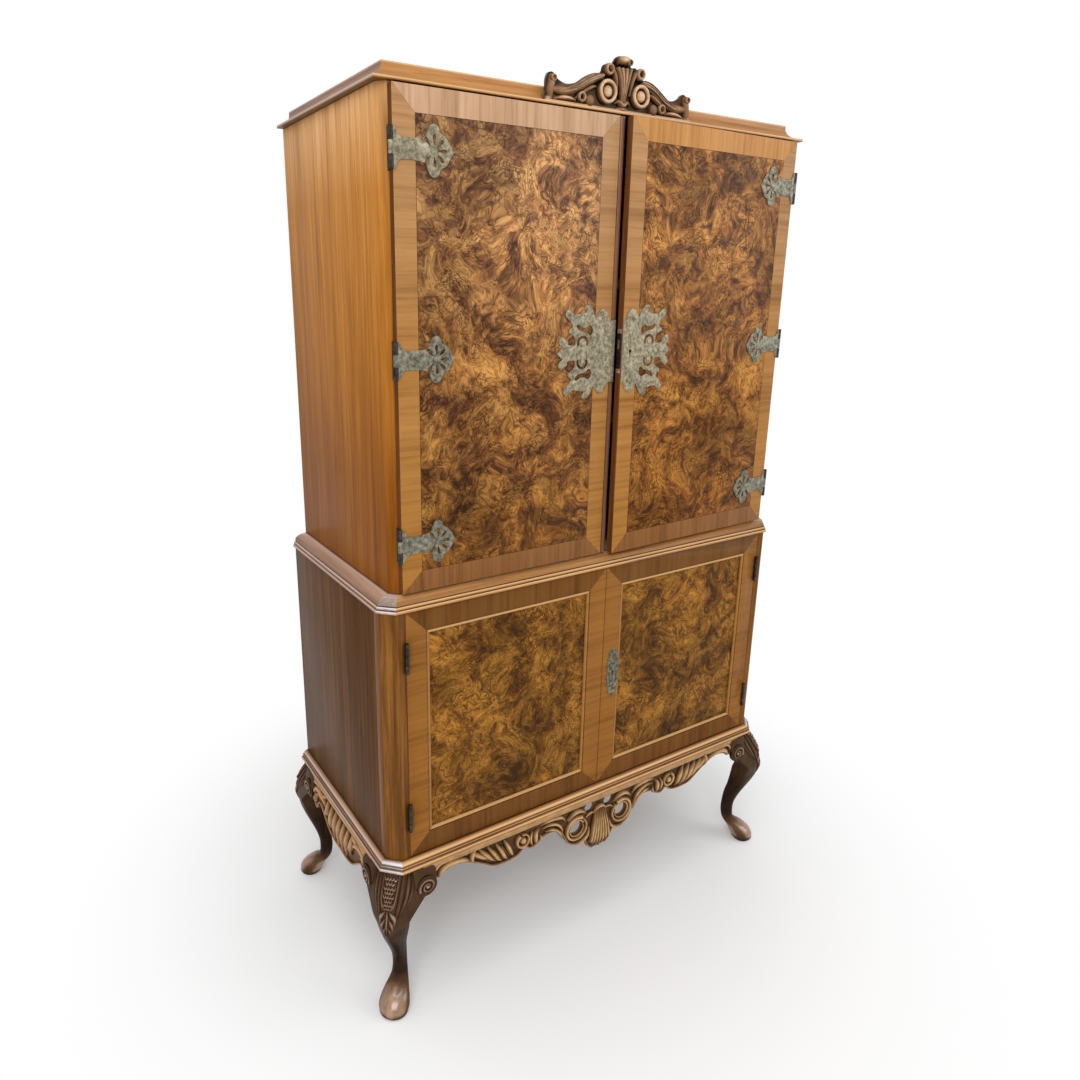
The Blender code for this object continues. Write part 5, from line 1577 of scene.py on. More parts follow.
        # Ground's relief: painted shade on its face, a little lighter on its back.
        carving.add(filled_plate(loops, self.thick - self.sunk, 0.0015),
                    lambda co: self.ground_tone if co.z > -0.004 else 0.45)

    def strip(self, carving: Carving, half: float, height: float) -> None:
        """Plain fillet that runs under the base board.

        Args:
            carving: carving to add to.
            half: half its length.
            height: its height.
        """
        bar = new_block(-half, half, self.base - height, self.base, -0.004, 0.0055)
        round_off(bar, bar.edges[:], 0.0012)
        # Fillet's relief: a painted highlight on its face and painted shade behind.
        carving.add(bar, lambda co: 0.80 if co.z > 0 else 0.1)

    def front(self, look: Material) -> None:
        """Front apron.

        Args:
            look: its material.
        """
        carving = Carving()
        self.front_half_carving(carving)
        self.rim(carving, self.front_edge[1:], self.front_half, 3.0)
        carving.mirror()
        self.fan(carving)
        loops = [self.outline(self.front_edge, self.front_half, 6)]
        for share, drop, half_u, half_v in self.eyes:
            for hand in (-1, 1):
                loops.append(ellipse((hand * share * self.front_half, self.base - drop / 1000),
                                     (half_u / 1000, half_v / 1000), range(0, 360, 15)))
        self.ground(carving, loops)
        self.strip(carving, self.front_half, 0.011)
        carving.lay(on_front(self.front_face + self.sunk))
        carving.finish("apron_front_carved", look, Body.CABINET, Slot.CARVED, ("apron_front",))

    def side(self, hand: str, look: Material) -> None:
        """Side apron: slanted gadroons in the middle and a curled leaf at each end.

        Args:
            hand: left or right.
            look: its material.
        """
        carving = Carving()
        carving.strokes(
            [(68, 258, 2.0, 5), (80, 272, 5.0, 9), (98, 281, 6.0, 10), (118, 281, 6.4, 10), (134, 270, 6.0, 10),
             (142, 254, 5.0, 9), (141, 243, 2.4, 6)],
            [(92, 290, 2.0, 5), (116, 293, 3.4, 8), (138, 288, 4.0, 8), (152, 274, 4.0, 8), (155, 262, 2.0, 5)],
            [(66, 287, 2.0, 5), (76, 286, 4.2, 8), (90, 279, 3.4, 7), (98, 268, 1.8, 5)],
            [(104, 262, 1.6, 5), (116, 268, 3.2, 8), (126, 262, 3.2, 8), (131, 250, 1.8, 5)])
        carving.volute((139.0, 248.0), 9.5, 8.0, 120, -340, 3.4, 8.0)
        carving.boss((139.0, 248.0), ((5.0, 1.0), (4.2, 6.0), (0.0, 7.5)), 0.9, 16)
        self.rim(carving, self.side_edge, self.side_half, 3.0)
        carving.mirror()
        lean = 1 if hand == "right" else -1
        for k in range(-3, 4):
            top, foot = 21.0 * k - 6.0 * lean, 21.0 * k + 7.0 * lean
            drop = 92.0 - 0.0072 * foot * foot
            carving.stroke([(top, 289, 3.0, 5), (top + 2 * lean, 276, 6.6, 9),
                            (21.0 * k + 2 * lean, 258, 8.2, 11),
                            (foot - lean, 243 if abs(k) < 3 else 252, 7.0, 10), (foot, 304 - drop, 3.0, 6)])
        self.ground(carving, [self.outline(self.side_edge, self.side_half, 5)])
        self.strip(carving, self.side_half, 0.009)
        carving.lay(on_side(self.side_face - self.sunk, -1 if hand == "left" else 1))
        carving.finish(f"apron_{hand}_carved", look, Body.CABINET, Slot.CARVED, (f"apron_{hand}",))

    def build(self) -> None:
        """Builds the three aprons."""
        look = CarvedWood("apron_carving").material()
        self.front(look)
        side = CarvedWood("apron_side_carving", grain=Grain.ALONG_Y, middle=(0.290, 0.140, 0.052),
                          top=(0.580, 0.330, 0.150), share=0.50).material()
        for hand in HANDS:
            self.side(hand, side)


@dataclass
class Crest:
    """Carved crest on the cornice's lip, with two deep rosettes."""

    lip: float = 1.6023
    front: float = -0.199
    thick: float = 0.013
    sunk: float = 0.008
    strip_half: float = 0.159
    seat: float = 0.0007
    tall: float = 0.0855
    rosette: Point = (36.3, 27.0)
    outline: tuple = ((0, 85.5), (9, 84.5), (16, 78), (21, 71), (31, 71.5), (38, 64), (46, 55), (62, 52),
                      (80, 42), (98, 34), (116, 31), (132, 36), (141, 44), (150, 43), (155, 33), (155, 18),
                      (161, 10), (161, 0))

    def hollow_roll(self, carving: Carving, middle: Point, radius: float, height: float, light: float) -> None:
        """Rolled leaf end with a hollow eye.

        Args:
            carving: carving to add to.
            middle: millimetres across and up.
            radius: its radius.
            height: height of its rim.
            light: relief value of its rim.
        """
        carving.boss(middle, ((radius, 0.0), (radius, height * 0.72), (radius * 0.86, height * 0.95),
                              (radius * 0.66, height), (radius * 0.5, height * 0.8), (radius * 0.36, height * 0.3),
                              (0.0, height * 0.22)), light, 28)

    def half_carving(self, carving: Carving) -> None:
        """Right half: rosette, knob, sloping shoulder, small scroll and upright finial.

        Args:
            carving: carving to add to.
        """
        carving.boss(self.rosette, ((18.6, 0.0), (18.6, 10.0), (18.2, 12.6), (16.9, 14.1), (14.6, 14.3),
                                    (13.0, 12.8), (12.3, 9.0), (11.3, 5.4), (10.2, 5.8), (9.2, 10.8),
                                    (6.6, 13.4), (3.2, 14.4), (0.0, 14.6)), 1.0, 40)
        self.hollow_roll(carving, (34.0, 60.5), 9.0, 14.0, 0.8)
        carving.stroke([(14, 26, 2.0, 8), (17, 44, 3.4, 11), (22, 56, 4.4, 12), (30, 63, 4.4, 12), (36, 66, 3, 9)],
                       light=0.65)
        carving.stroke([(42, 51, 4.0, 8), (56, 47, 7.0, 10), (74, 39, 8.0, 10), (94, 27.5, 7.5, 9),
                        (114, 20, 7.0, 8), (132, 19, 7.0, 8), (145, 20, 5.0, 7)], light=0.86)
        # Thin ribs of low relief: painted shade lines that stand for grooves in the shoulder.
        for lower, reach in ((0.0, 128), (-4.2, 120), (4.0, 112)):
            carving.stroke([(46, 49 + lower, 0.6, 9.6), (60, 45.5 + lower, 1.0, 11.4), (76, 38 + lower, 1.0, 11.4),
                            (95, 27 + lower, 1.0, 10.4), (reach, 19.5 + lower, 0.6, 8.2)], light=0.28)
        carving.stroke([(56, 33, 2.0, 6), (66, 31, 4.0, 9), (80, 24, 4.4, 9), (92, 16, 3.6, 8), (100, 10, 2, 5)],
                       light=0.6)
        self.hollow_roll(carving, (88.0, 13.5), 8.4, 11.0, 0.75)
        carving.boss((70.0, 10.5), ((9.5, 0), (9.0, 6), (6.0, 9.5), (0, 10.5)), 0.6, 24)
        carving.stroke([(98, 8, 2.6, 5), (112, 9.5, 4.0, 8), (126, 9.0, 4.0, 8), (142, 6, 2.4, 5)], light=0.95)
        carving.stroke([(150, 5, 6.0, 7), (149.5, 16, 7.4, 9), (147.5, 28, 7.4, 10), (146, 37, 6.4, 9),
                        (145.5, 41, 3.4, 6)], light=0.7)
        self.hollow_roll(carving, (146.5, 34.0), 5.6, 12.5, 0.7)
        carving.stroke([(146, 6, 3, 6), (154, 5, 4.4, 7), (159, 3, 2.4, 4)], light=0.8)

    def middle_carving(self, carving: Carving) -> None:
        """Flaring leaf of the middle, its rolled top and the ribbon at its foot.

        Args:
            carving: carving to add to.
        """
        for u, half, light in ((-8.5, 3.6, 0.62), (8.5, 3.6, 0.62), (-3.0, 3.2, 0.78), (3.0, 3.2, 0.78)):
            carving.stroke([(0.45 * u, 15, 0.7 * half, 8), (0.6 * u, 32, half, 11), (1.0 * u, 50, 1.2 * half, 12.5),
                            (1.7 * u, 66, 1.3 * half, 11)], light=light)
        carving.stroke([(-12.5, 76, 5.5, 9), (-8, 77.5, 6.8, 13), (0, 78.0, 7.2, 14), (8, 77.5, 6.8, 13),
                        (12.5, 76, 5.5, 9)], light=0.85)
        self.hollow_roll(carving, (7.5, 74.5), 5.4, 15.5, 0.55)
        carving.stroke([(-17, 12, 2.0, 6), (-9, 15, 4.0, 10), (0, 10, 5.0, 12), (9, 15, 4.0, 10), (17, 12, 2.0, 6)],
                       light=0.75)
        carving.stroke([(-12, 5, 2.0, 6), (0, 4.5, 3.6, 9), (12, 5, 2.0, 6)], light=0.7)

    def build(self) -> None:
        """Builds the crest."""
        look = CarvedWood("crest_carving", deep=(0.010, 0.004, 0.002), middle=(0.230, 0.108, 0.045),
                          top=(0.700, 0.450, 0.260), rough=0.30, gloss=0.45, low=0.20, share=0.50,
                          patchy=0.60).material()
        carving = Carving()
        self.half_carving(carving)
        carving.mirror()
        self.middle_carving(carving)
        half = [(u / 1000, self.lip + v / 1000) for u, v in self.outline]
        whole = both_hands(smooth_curve(half[:-2], 4) + half[-2:])
        carving.lay(lambda co: Vector((co.x, co.y + self.lip, co.z)))
        # Ground in painted shade, and the strip with a painted highlight on its face.
        carving.add(filled_plate([whole], self.thick - self.sunk, 0.0015), lambda co: 0.22)
        strip = new_block(-self.strip_half, self.strip_half, self.lip, self.lip + 0.0035, -0.003, 0.0065)
        carving.add(strip, lambda co: 0.8 if co.z > 0 else 0.1)
        for vert in carving.bm.verts:
            vert.co.y = min(max(vert.co.y, self.lip + self.seat), self.lip + self.tall)
        carving.lay(on_front(self.front + self.sunk))
        carving.finish("crest_carved", look, Body.CABINET, Slot.CARVED, ("crest",))


@dataclass
class CabrioleLegs:
    """Four cabriole legs with carved knees, scroll ears and pad feet."""

    half_x: float = 0.474
    half_y: float = 0.2165
    block: float = 0.0573
    top: float = 0.2997
    sides: int = 56
    stations: tuple = ((0.0, 0.0290, -0.0130, 0.0235, 2.0), (0.003, 0.0316, -0.0152, 0.0264, 2.0),
                       (0.006, 0.0322, -0.0165, 0.0275, 2.0), (0.016, 0.0310, -0.0220, 0.0292, 2.0),
                       (0.027, 0.0230, -0.0280, 0.0270, 2.0), (0.036, 0.0105, -0.0330, 0.0235, 2.0),
                       (0.043, -0.0060, -0.0385, 0.0195, 2.0), (0.053, -0.0165, -0.0440, 0.0160, 2.0),
                       (0.073, -0.0190, -0.0470, 0.0140, 2.0), (0.096, -0.0170, -0.0460, 0.0140, 2.0),
                       (0.119, -0.0080, -0.0430, 0.0158, 1.9), (0.143, 0.0050, -0.0370, 0.0198, 1.7),
                       (0.167, 0.0190, -0.0330, 0.0255, 1.45), (0.190, 0.0300, -0.0300, 0.0312, 1.25),
                       (0.214, 0.0385, -0.0290, 0.0375, 1.1))
    knee: tuple = ((0.250, 0.0365), (0.262, 0.0315), (0.280, 0.0205), (0.2997, 0.003))
    cant: float = 0.009
    cant_levels: Point = (0.185, 0.06)
    ground_depth: float = 0.0026
    ground_levels: Point = (0.176, 0.03)
    foot_height: float = 0.046
    tones: tuple = ((0.0, 0.20), (0.006, 0.50), (0.014, 0.80), (0.034, 0.86), (0.048, 0.50), (0.064, 0.25),
                    (0.150, 0.25), (0.200, 0.42), (0.300, 0.50))
    ear_radius: float = 0.0215
    ear_height: float = 0.264
    ear_reach: float = 0.0035
    ear_back: float = 0.0183
    ear_face: float = 0.0262
    ear_head: tuple = ((-24, 2), (-24, 35.2), (14, 35.2), (19, 31.5), (21, 22), (20, 8), (0, 0))

    def all_stations(self) -> list[tuple]:
        """Stations from the floor to the base board, with the knee block's own.

        Returns:
            Height, outward and inward reach, half breadth and roundness.
        """
        inward = -self.block * math.sqrt(2)
        return list(self.stations) + [(height, outward, inward, (outward - inward) / 2, 1.0)
                                      for height, outward in self.knee]

    def section(self, height: float) -> tuple:
        """Section of the leg at a height, between its stations.

        Args:
            height: height above the floor.

        Returns:
            Outward and inward reach, half breadth and roundness.
        """
        rows = self.all_stations()
        i = next(i for i, row in enumerate(rows[1:]) if height <= row[0] or i == len(rows) - 2)
        low, high = rows[i], rows[i + 1]
        t = passed(height, low[0], high[0] - low[0])
        if i >= len(self.stations) - 1:
            return tuple(b + (c - b) * t for b, c in zip(low[1:], high[1:]))
        return between((row[1:] for row in (rows[max(i - 1, 0)], low, high, rows[i + 2])), t)

    def soft(self, height: float, levels: Point) -> float:
        """Share of the way between two levels of the leg, starting and ending softly.

        Args:
            height: height above the floor.
            levels: the lower level and the distance to the upper one.

        Returns:
            The share.
        """
        share = passed(height, *levels)
        return share * share * (3 - 2 * share)

    def front_reach(self, height: float, across: float) -> float:
        """Outward reach of the leg's surface on the diagonal, beside its middle line.

        Args:
            height: height above the floor.
            across: distance beside the middle line.

        Returns:
            The reach from the cupboard's corner.
        """
        outward, inward, half, roundness = self.section(height)
        outward -= self.sink(height)
        power = max(roundness, 1.0)
        share = min(abs(across) / half, 0.999)
        reach = (outward + inward) / 2 + (outward - inward) / 2 * (1 - share ** power) ** (1 / power)
        return min(reach, outward - self.cut(height))

    def cut(self, height: float) -> float:
        """Depth by which the knee's edge is canted at a height."""
        return self.cant * self.soft(height, self.cant_levels)

    def sink(self, height: float) -> float:
        """Depth by which the knee's ground lies under its carving at a height."""
        return self.ground_depth * self.soft(height, self.ground_levels)

    def ring(self, height: float) -> list[Point3]:
        """Section of the leg in its diagonal frame.

        Args:
            height: height above the floor.

        Returns:
            Points round the leg.
        """
        outward, inward, half, roundness = self.section(height)
        outward -= self.sink(height)
        power = 2 / max(roundness, 1.0)
        middle = (outward + inward) / 2
        reach = (outward - inward) / 2
        ring = []
        for i in range(self.sides):
            turn = 2 * math.pi * i / self.sides
            along = math.copysign(abs(math.cos(turn)) ** power, math.cos(turn))
            across = math.copysign(abs(math.sin(turn)) ** power, math.sin(turn))
            ring.append((min(middle + reach * along, outward - self.cut(height)), half * across, height))
        return ring

    def heights(self) -> list[float]:
        """Heights of the leg's rings.

        Returns:
            The heights.
        """
        low = [0.0, 0.0006, 0.0018] + [0.003 + 0.0015 * i for i in range(28)]
        high = [0.047 + 0.0045 * i for i in range(57)]
        return [height for height in low + high if height < self.top - 0.002] + [self.top]

    def tone(self, co: Vector) -> float:
        """Relief value of the plain leg: a lighter foot with painted shade at its sides and a painted highlight along
        its ridge, a dark shank and a browner knee.

        Args:
            co: position on the leg.

        Returns:
            The value.
        """
        value = next(first + (second - first) * max(0.0, co.z - low) / (high - low)
                     for (low, first), (high, second) in zip(self.tones, self.tones[1:]) if co.z <= high)
        if co.z > self.foot_height:
            return value
        # On the foot: painted shade at its sides and a painted highlight along the toe's ridge, fading upwards.
        share = abs(co.y) / self.section(co.z)[2]
        side = passed(share, 0.70, 0.28)
        ridge = 1.0 - passed(share, 0.14, 0.20) if co.x > -0.01 else 0.0
        fade = 1.0 - (co.z / self.foot_height) ** 4
        return value * (1.0 - 0.38 * side * side * fade) + 0.16 * ridge * fade

    def on_knee(self, co: Vector) -> Vector:
        """Lays drawing coordinates on the knee, in the leg's diagonal frame.

        Args:
            co: across, height and out.

        Returns:
            The place.
        """
        step = 0.001
        height = min(co.y, self.top - 0.002)
        here = Vector((self.front_reach(height, co.x), co.x, height))
        beside = Vector((self.front_reach(height, co.x + step), co.x + step, height)) - here
        above = Vector((self.front_reach(height + step, co.x), co.x, height + step)) - here
        return here + beside.cross(above).normalized() * co.z

    def knee_carving(self) -> Carving:
        """Carving of the knee: a scaled panel between ridges, over leaves that end in a point.

        Returns:
            The carving, laid on the knee.
        """
        carving = Carving()
        for row in range(8):
            height = 293 - 6.0 * row
            count = 4 if row % 2 == 0 else 3
            for k in range(count):
                middle = (k - (count - 1) / 2) * (5.6 - 0.22 * row)
                carving.stroke([(middle - 2.6, height, 0.8, 1.2), (middle - 2.0, height - 3.4, 1.1, 2.0),
                                (middle, height - 5.2, 1.2, 2.2), (middle + 2.0, height - 3.4, 1.1, 2.0),
                                (middle + 2.6, height, 0.8, 1.2)], 2, 6, light=0.95)
        carving.stroke([(0, 248, 1.6, 2.0), (0, 232, 2.4, 2.9), (0, 212, 2.2, 2.9), (0, 190, 1.0, 1.2)], light=0.8)
        for hand in (-1, 1):
            for points, light in (
                    ([(13.5, 297, 2.0, 2.4), (13.2, 276, 2.2, 2.8), (11.0, 256, 2.4, 3.0), (5.5, 244, 2.0, 2.6)], 0.72),
                    ([(3, 243, 1.6, 2.0), (8.5, 236, 3.2, 2.9), (12.5, 226, 3.4, 2.9), (12.0, 214, 2.0, 2.0)], 0.85),
                    ([(2, 230, 1.4, 2.0), (6.5, 222, 2.8, 2.8), (9.0, 212, 2.8, 2.8), (8.0, 201, 1.6, 1.8)], 0.78),
                    ([(1.5, 214, 1.2, 1.8), (4.5, 207, 2.2, 2.4), (5.0, 198, 1.8, 2.0), (2.5, 189, 0.8, 1.0)], 0.72),
                    ([(19.5, 296, 2.2, 2.4), (20.5, 276, 3.4, 3.0), (19.5, 256, 3.8, 3.0), (16.5, 238, 3.2, 2.9),
                      (14.5, 224, 1.6, 1.6)], 0.60),
                    ([(27.5, 292, 2.2, 2.4), (29.0, 272, 3.2, 3.0), (27.5, 254, 3.2, 3.0), (22.5, 238, 2.6, 2.6),
                      (18.0, 227, 1.2, 1.4)], 0.66),
                    ([(35.0, 280, 1.8, 2.2), (35.5, 264, 2.8, 2.8), (32.0, 250, 2.6, 2.6), (26.0, 238, 1.4, 1.6)],
                     0.58)):
                carving.stroke([(u * hand, v, half, height) for u, v, half, height in points], 5, 8, light=light)
        carving.lay(self.on_knee)
        return carving

    def ear(self, away: int) -> Carving:
        """Scroll ear in drawing coordinates, its middle at 0.

        Args:
            away: 1 where the apron lies to the right and -1 where it lies to the left.

        Returns:
            The carving.
        """
        radius = self.ear_radius * 1000
        depth = (self.ear_face - self.ear_back) * 1000
        carving = Carving()
        carving.boss((0, 0), ((radius - 1.0, 0), (radius - 0.6, depth - 4.0), (radius - 2.2, depth - 2.8),
                              (8.0, depth - 3.4), (0, depth - 3.2)), 0.42, 36)
        head = filled_plate([[(away * u / 1000, v / 1000) for u, v in self.ear_head]], 0.008, 0.0012)
        for vert in head.verts:
            vert.co.z += 0.0038 - 0.36 * max(0.0, vert.co.y - 0.019)
        carving.add(head, lambda co: 0.42)
        lift = depth - 3.4
        for start, outer, inner, half in ((205, 16.8, 9.0, 4.3), (240, 9.0, 3.6, 2.6)):
            turn = start if away > 0 else 180 - start
            carving.volute((0, 0), outer, inner, turn, -330 * away, half, 3.6, 0.76, lift)
        bm = turned_boss([(0.0036, depth / 1000 - 0.0032), (0.0030, depth / 1000 - 0.0006),
                          (0.0, depth / 1000 + 0.0004)], 16)
        carving.add(bm, lambda co: 0.80 if co.z > 0 else 0.3)
        return carving

    def leg(self, end: str, hand: str, look: Material) -> None:
        """One leg with its carving and ears.

        Args:
            end: front or back.
            hand: left or right.
            look: its material.
        """
        side_x = -1 if hand == "left" else 1
        side_y = -1 if end == "front" else 1
        whole = Carving()
        whole.add(swept_plan([self.ring(height) for height in self.heights()]), self.tone)
        knee = self.knee_carving()
        whole.take(knee.bm, knee.relief)
        turn = math.atan2(side_y, side_x)
        place = Matrix.Translation((side_x * self.half_x, side_y * self.half_y, 0.0)) @ Matrix.Rotation(turn, 4, "Z")
        whole.lay(lambda co: place @ co)
        inner_x = self.half_x - self.block - self.ear_reach
        inner_y = self.half_y - self.block - self.ear_reach
        ears = [(on_side(self.half_x + self.ear_back, side_x, side_x * side_y * inner_y, self.ear_height),
                 -side_x * side_y)]
        if end == "front":
            ears.append((on_front(-self.half_y - self.ear_back, side_x * inner_x, self.ear_height), -side_x))
        for surface, away in ears:
            ear = self.ear(away)
            ear.lay(surface)
            whole.take(ear.bm, ear.relief)
        whole.finish(f"leg_{end}_{hand}_carved", look, Body.CABINET, Slot.LEG, (f"leg_{end}_{hand}",))

    def build(self) -> None:
        """Builds the four legs."""
        look = CarvedWood("leg_carving", deep=(0.006, 0.003, 0.0015), middle=(0.090, 0.045, 0.022),
                          top=(0.430, 0.235, 0.122), grain=Grain.ALONG_Z, rough=0.22, gloss=1.0, coat_ior=1.9,
                          specular=0.05, low=0.16, share=0.46, wear=0.04, patchy=0.22).material()
        for end in ("front", "back"):
            for hand in HANDS:
                self.leg(end, hand, look)


@dataclass
class BrassFittings:
    """Strap hinges, lock plates, escutcheon, hinge leaves and bolts."""

    axis_x: float = 0.4398
    face: float = -0.2135
    lower_face: float = -0.2165
    proud: float = 0.0018
    strap_levels: tuple = (0.9115, 1.2085, 1.5085)
    strap_thick: float = 0.0015
    plate_edge: float = 0.0004
    barrel: float = 0.0035
    barrel_length: float = 0.058
    barrel_gap: float = 0.0003
    strap: tuple = ((4.1, 29), (8.0, 25.5), (10.5, 20.0), (12.0, 16.5), (18.0, 15.0), (34.0, 14.5), (50.0, 16.5),
                    (56.5, 18.5), (60.0, 28.5), (64.5, 34.5), (70.5, 36.5), (77.0, 32.5), (80.5, 24.5),
                    (88.5, 20.5), (94.0, 13.5), (98.0, 7.0))
    reach: float = 102.5
    slot_middle: float = 69.0
    slot_angles: tuple = (-130, -85, -42, 0, 42, 85, 130)
    plate_level: float = 1.2085
    plate_starts: Point = (0.0165, 0.0005)
    plate: tuple = ((7.0, 59.0), (8.5, 66.0), (12.2, 69.6), (18.3, 74.0), (26.0, 71.9), (31.0, 65.0),
                    (36.9, 58.9), (41.3, 68.4), (49.5, 78.6), (59.2, 80.5), (61.7, 75.8), (56.6, 68.6),
                    (67.8, 66.6), (84.6, 64.6), (95.2, 73.3), (101.5, 69.8), (101.1, 62.0), (85.6, 46.0),
                    (92.8, 40.4), (94.4, 34.6), (84.9, 30.1), (79.5, 22.0), (80.0, 14.0), (84.1, 12.6),
                    (96.3, 14.4), (96.0, 20.0), (99.4, 21.8), (108.0, 27.8), (115.1, 22.2), (112.0, 13.5),
                    (106.4, 10.4))
    plate_reach: float = 119.5
    plate_root: float = 54.0
    plate_loop: tuple = ((44.5, 30.0), (41.5, 36.0), (44.0, 43.5), (50.5, 46.5), (57.5, 43.0), (66.5, 43.5),
                         (75.0, 48.5), (79.0, 45.0), (72.5, 38.0), (62.0, 35.5), (54.0, 33.5),
                         (49.0, 28.5))
    keyhole: Point = (18.5, 0.0)
    edge_half: float = 0.0055
    edge_place: Point = (0.00025, -0.2051)
    scutcheon: tuple = ((13.0, 6.0), (17.5, 14.0), (12.0, 20.0), (15.5, 28.0), (9.0, 34.0), (12.5, 42.0),
                        (6.0, 47.0))
    scutcheon_half: float = 54.0
    scutcheon_waist: float = 14.5
    scutcheon_place: Point = (0.0272, 0.568)

    def key_loop(self, u: float, v: float) -> list[Point]:
        """Keyhole: a round with a slot under it.

        Args:
            u: millimetres across of the round's middle.
            v: millimetres up.

        Returns:
            Its outline.
        """
        return ellipse((u, v), (3.4, 3.4), range(-65, 246, 15)) + [(u - 1.4, v - 10.0), (u + 1.4, v - 10.0)]

    def rivet(self, carving: Carving, u: float, v: float, radius: float = 1.5) -> None:
        """Low pin head.

        Args:
            carving: plate to add to.
            u: millimetres across.
            v: millimetres up.
            radius: its radius.
        """
        carving.boss((u, v), ((radius, 0.0), (radius * 0.92, radius * 0.3), (radius * 0.6, radius * 0.52),
                              (0.0, radius * 0.6)), 1.0, 12)

    def slot_loop(self, angle: float) -> list[Point]:
        """Teardrop slot of the palmette.

        Args:
            angle: its direction in degrees.

        Returns:
            Its outline in millimetres.
        """
        turn = math.radians(angle)
        shape = ((7, 0), (11, 1.4), (16, 3.0), (20, 3.2), (23, 0.4), (20, -2.6), (16, -2.2), (11, -1.0))
        points = [(self.slot_middle + a * math.cos(turn) - b * math.sin(turn),
                   a * math.sin(turn) + b * math.cos(turn)) for a, b in shape]
        return smooth_curve(points, 2, True)

    def plate_piece(self, loops: Sequence[Sequence[Point]]) -> Carving:
        """Plate of the given outline and holes in millimetres, with eased edges.

        Args:
            loops: its outline and holes.

        Returns:
            The plate.
        """
        carving = Carving()
        # Relief: plain on the face, a painted highlight on the eased rim and painted shade on the side.
        carving.add(filled_plate([[(u / 1000, v / 1000) for u, v in loop] for loop in loops],
                                 self.strap_thick, self.plate_edge),
                    lambda co: 0.5 if co.z > -0.00005 else 1.0 if co.z > -1.5 * self.plate_edge else 0.1)
        return carving

    def strap_hinge(self, side: int, number: int, level: float, look: Material) -> None:
        """Pierced strap with its knuckle and pins.

        Args:
            side: -1 for the left door and 1 for the right.
            number: number of the hinge from the foot.
            level: height of its middle.
            look: its material.
        """
        outline = both_ways(smooth_curve(list(self.strap) + [(self.reach, 0.0)], 3))
        carving = self.plate_piece([outline] + [self.slot_loop(angle) for angle in self.slot_angles])
        for u, v in ((15, 11), (15, -11), (47, 11), (47, -11)):
            self.rivet(carving, u, v, 1.3)
        for v in (21.0, -21.0):
            self.rivet(carving, 8.4, v, 1.2)
        carving.boss((self.slot_middle, 0.0), ((5.2, 0.0), (4.8, 0.7), (2.6, 1.0), (0.0, 1.1)), 0.8, 20)
        half = self.barrel_length / 6 - self.barrel_gap
        knuckle = bmesh.new()
        place = Matrix.Translation((0.0, 0.0, -self.proud)) @ Matrix.Rotation(math.pi / 2, 4, "X")
        bmesh.ops.create_cone(knuckle, cap_ends=True, segments=24, radius1=self.barrel, radius2=self.barrel,
                              depth=2 * half, matrix=place)
        bridge = new_block(0.002, 0.0055, -half, half, -0.0016, -0.0001)
        for form in (knuckle, bridge):
            carving.add(form, lambda co: 0.5)
        self.place_on_door(carving, side, self.axis_x, level)
        hand, body = self.upper_door(side)
        carving.finish(f"strap_pierced_{hand}_{number}", look, body, Slot.BRASS,
                       (f"strap_hinge_{hand}_{number}",), 40.0)

    def upper_door(self, side: int) -> tuple[str, Body]:
        """Name and body of the upper door on the left (-1) or right (1)."""
        return ("left", Body.UPPER_LEFT) if side < 0 else ("right", Body.UPPER_RIGHT)

    def place_on_door(self, carving: Carving, side: int, start: float, level: float) -> None:
        """Lays a plate on an upper door, drawn from its start inwards or outwards.

        Args:
            carving: the plate, drawn for the left hinge or the right lock plate.
            side: -1 for the left door and 1 for the right.
            start: distance from the middle line of the drawing's 0.
            level: height of its middle.
        """
        outwards = start < self.axis_x / 2
        if (side > 0) != outwards:
            flip(carving.bm)
        carving.lay(on_front(self.face - self.proud, side * start, level))
        if side > 0:
            carving.lay(swung)

    def lock_plate(self, side: int, look: Material) -> None:
        """Fretted plate on an upper door.

        Args:
            side: -1 for the left door and 1 for the right.
            look: its material.
        """
        root = -9.5 if side < 0 else 0.0
        upper = [(root, self.plate_root), (5.5, self.plate_root)] + smooth_curve(
            list(self.plate) + [(self.plate_reach, 0.0)], 2)
        loops = [both_ways(upper)]
        for up in (1, -1):
            loops.append([(u, up * v) for u, v in smooth_curve(self.plate_loop, 2, True)])
            loops.append(ellipse((20.5, up * 57.0), (1.9, up * 1.9), range(0, 360, 40)))
            outer, inner = (ellipse((63.5, up * 16.5), (radius, up * radius), turns)
                            for radius, turns in ((12.6, range(-28, 209, 18)), (7.6, range(208, -29, -18))))
            loops.append(outer + inner)
        if side > 0:
            loops.append(self.key_loop(*self.keyhole))
        carving = self.plate_piece(loops)
        for up in (1, -1):
            carving.boss((63.5, 15.5 * up), ((4.6, 0.0), (4.2, 0.7), (2.4, 1.1), (0.0, 1.2)), 1.0, 18)
            for u, v in ((18.5, 67.5), (54.0, 73.5), (95.5, 66.5), (107.0, 20.5)):
                self.rivet(carving, u, v * up, 1.3)
        self.place_on_door(carving, side, self.plate_starts[side > 0], self.plate_level)
        hand, body = self.upper_door(side)
        carving.finish(f"lock_plate_{hand}_fretted", look, body, Slot.BRASS, (f"lock_plate_{hand}",), 40.0)

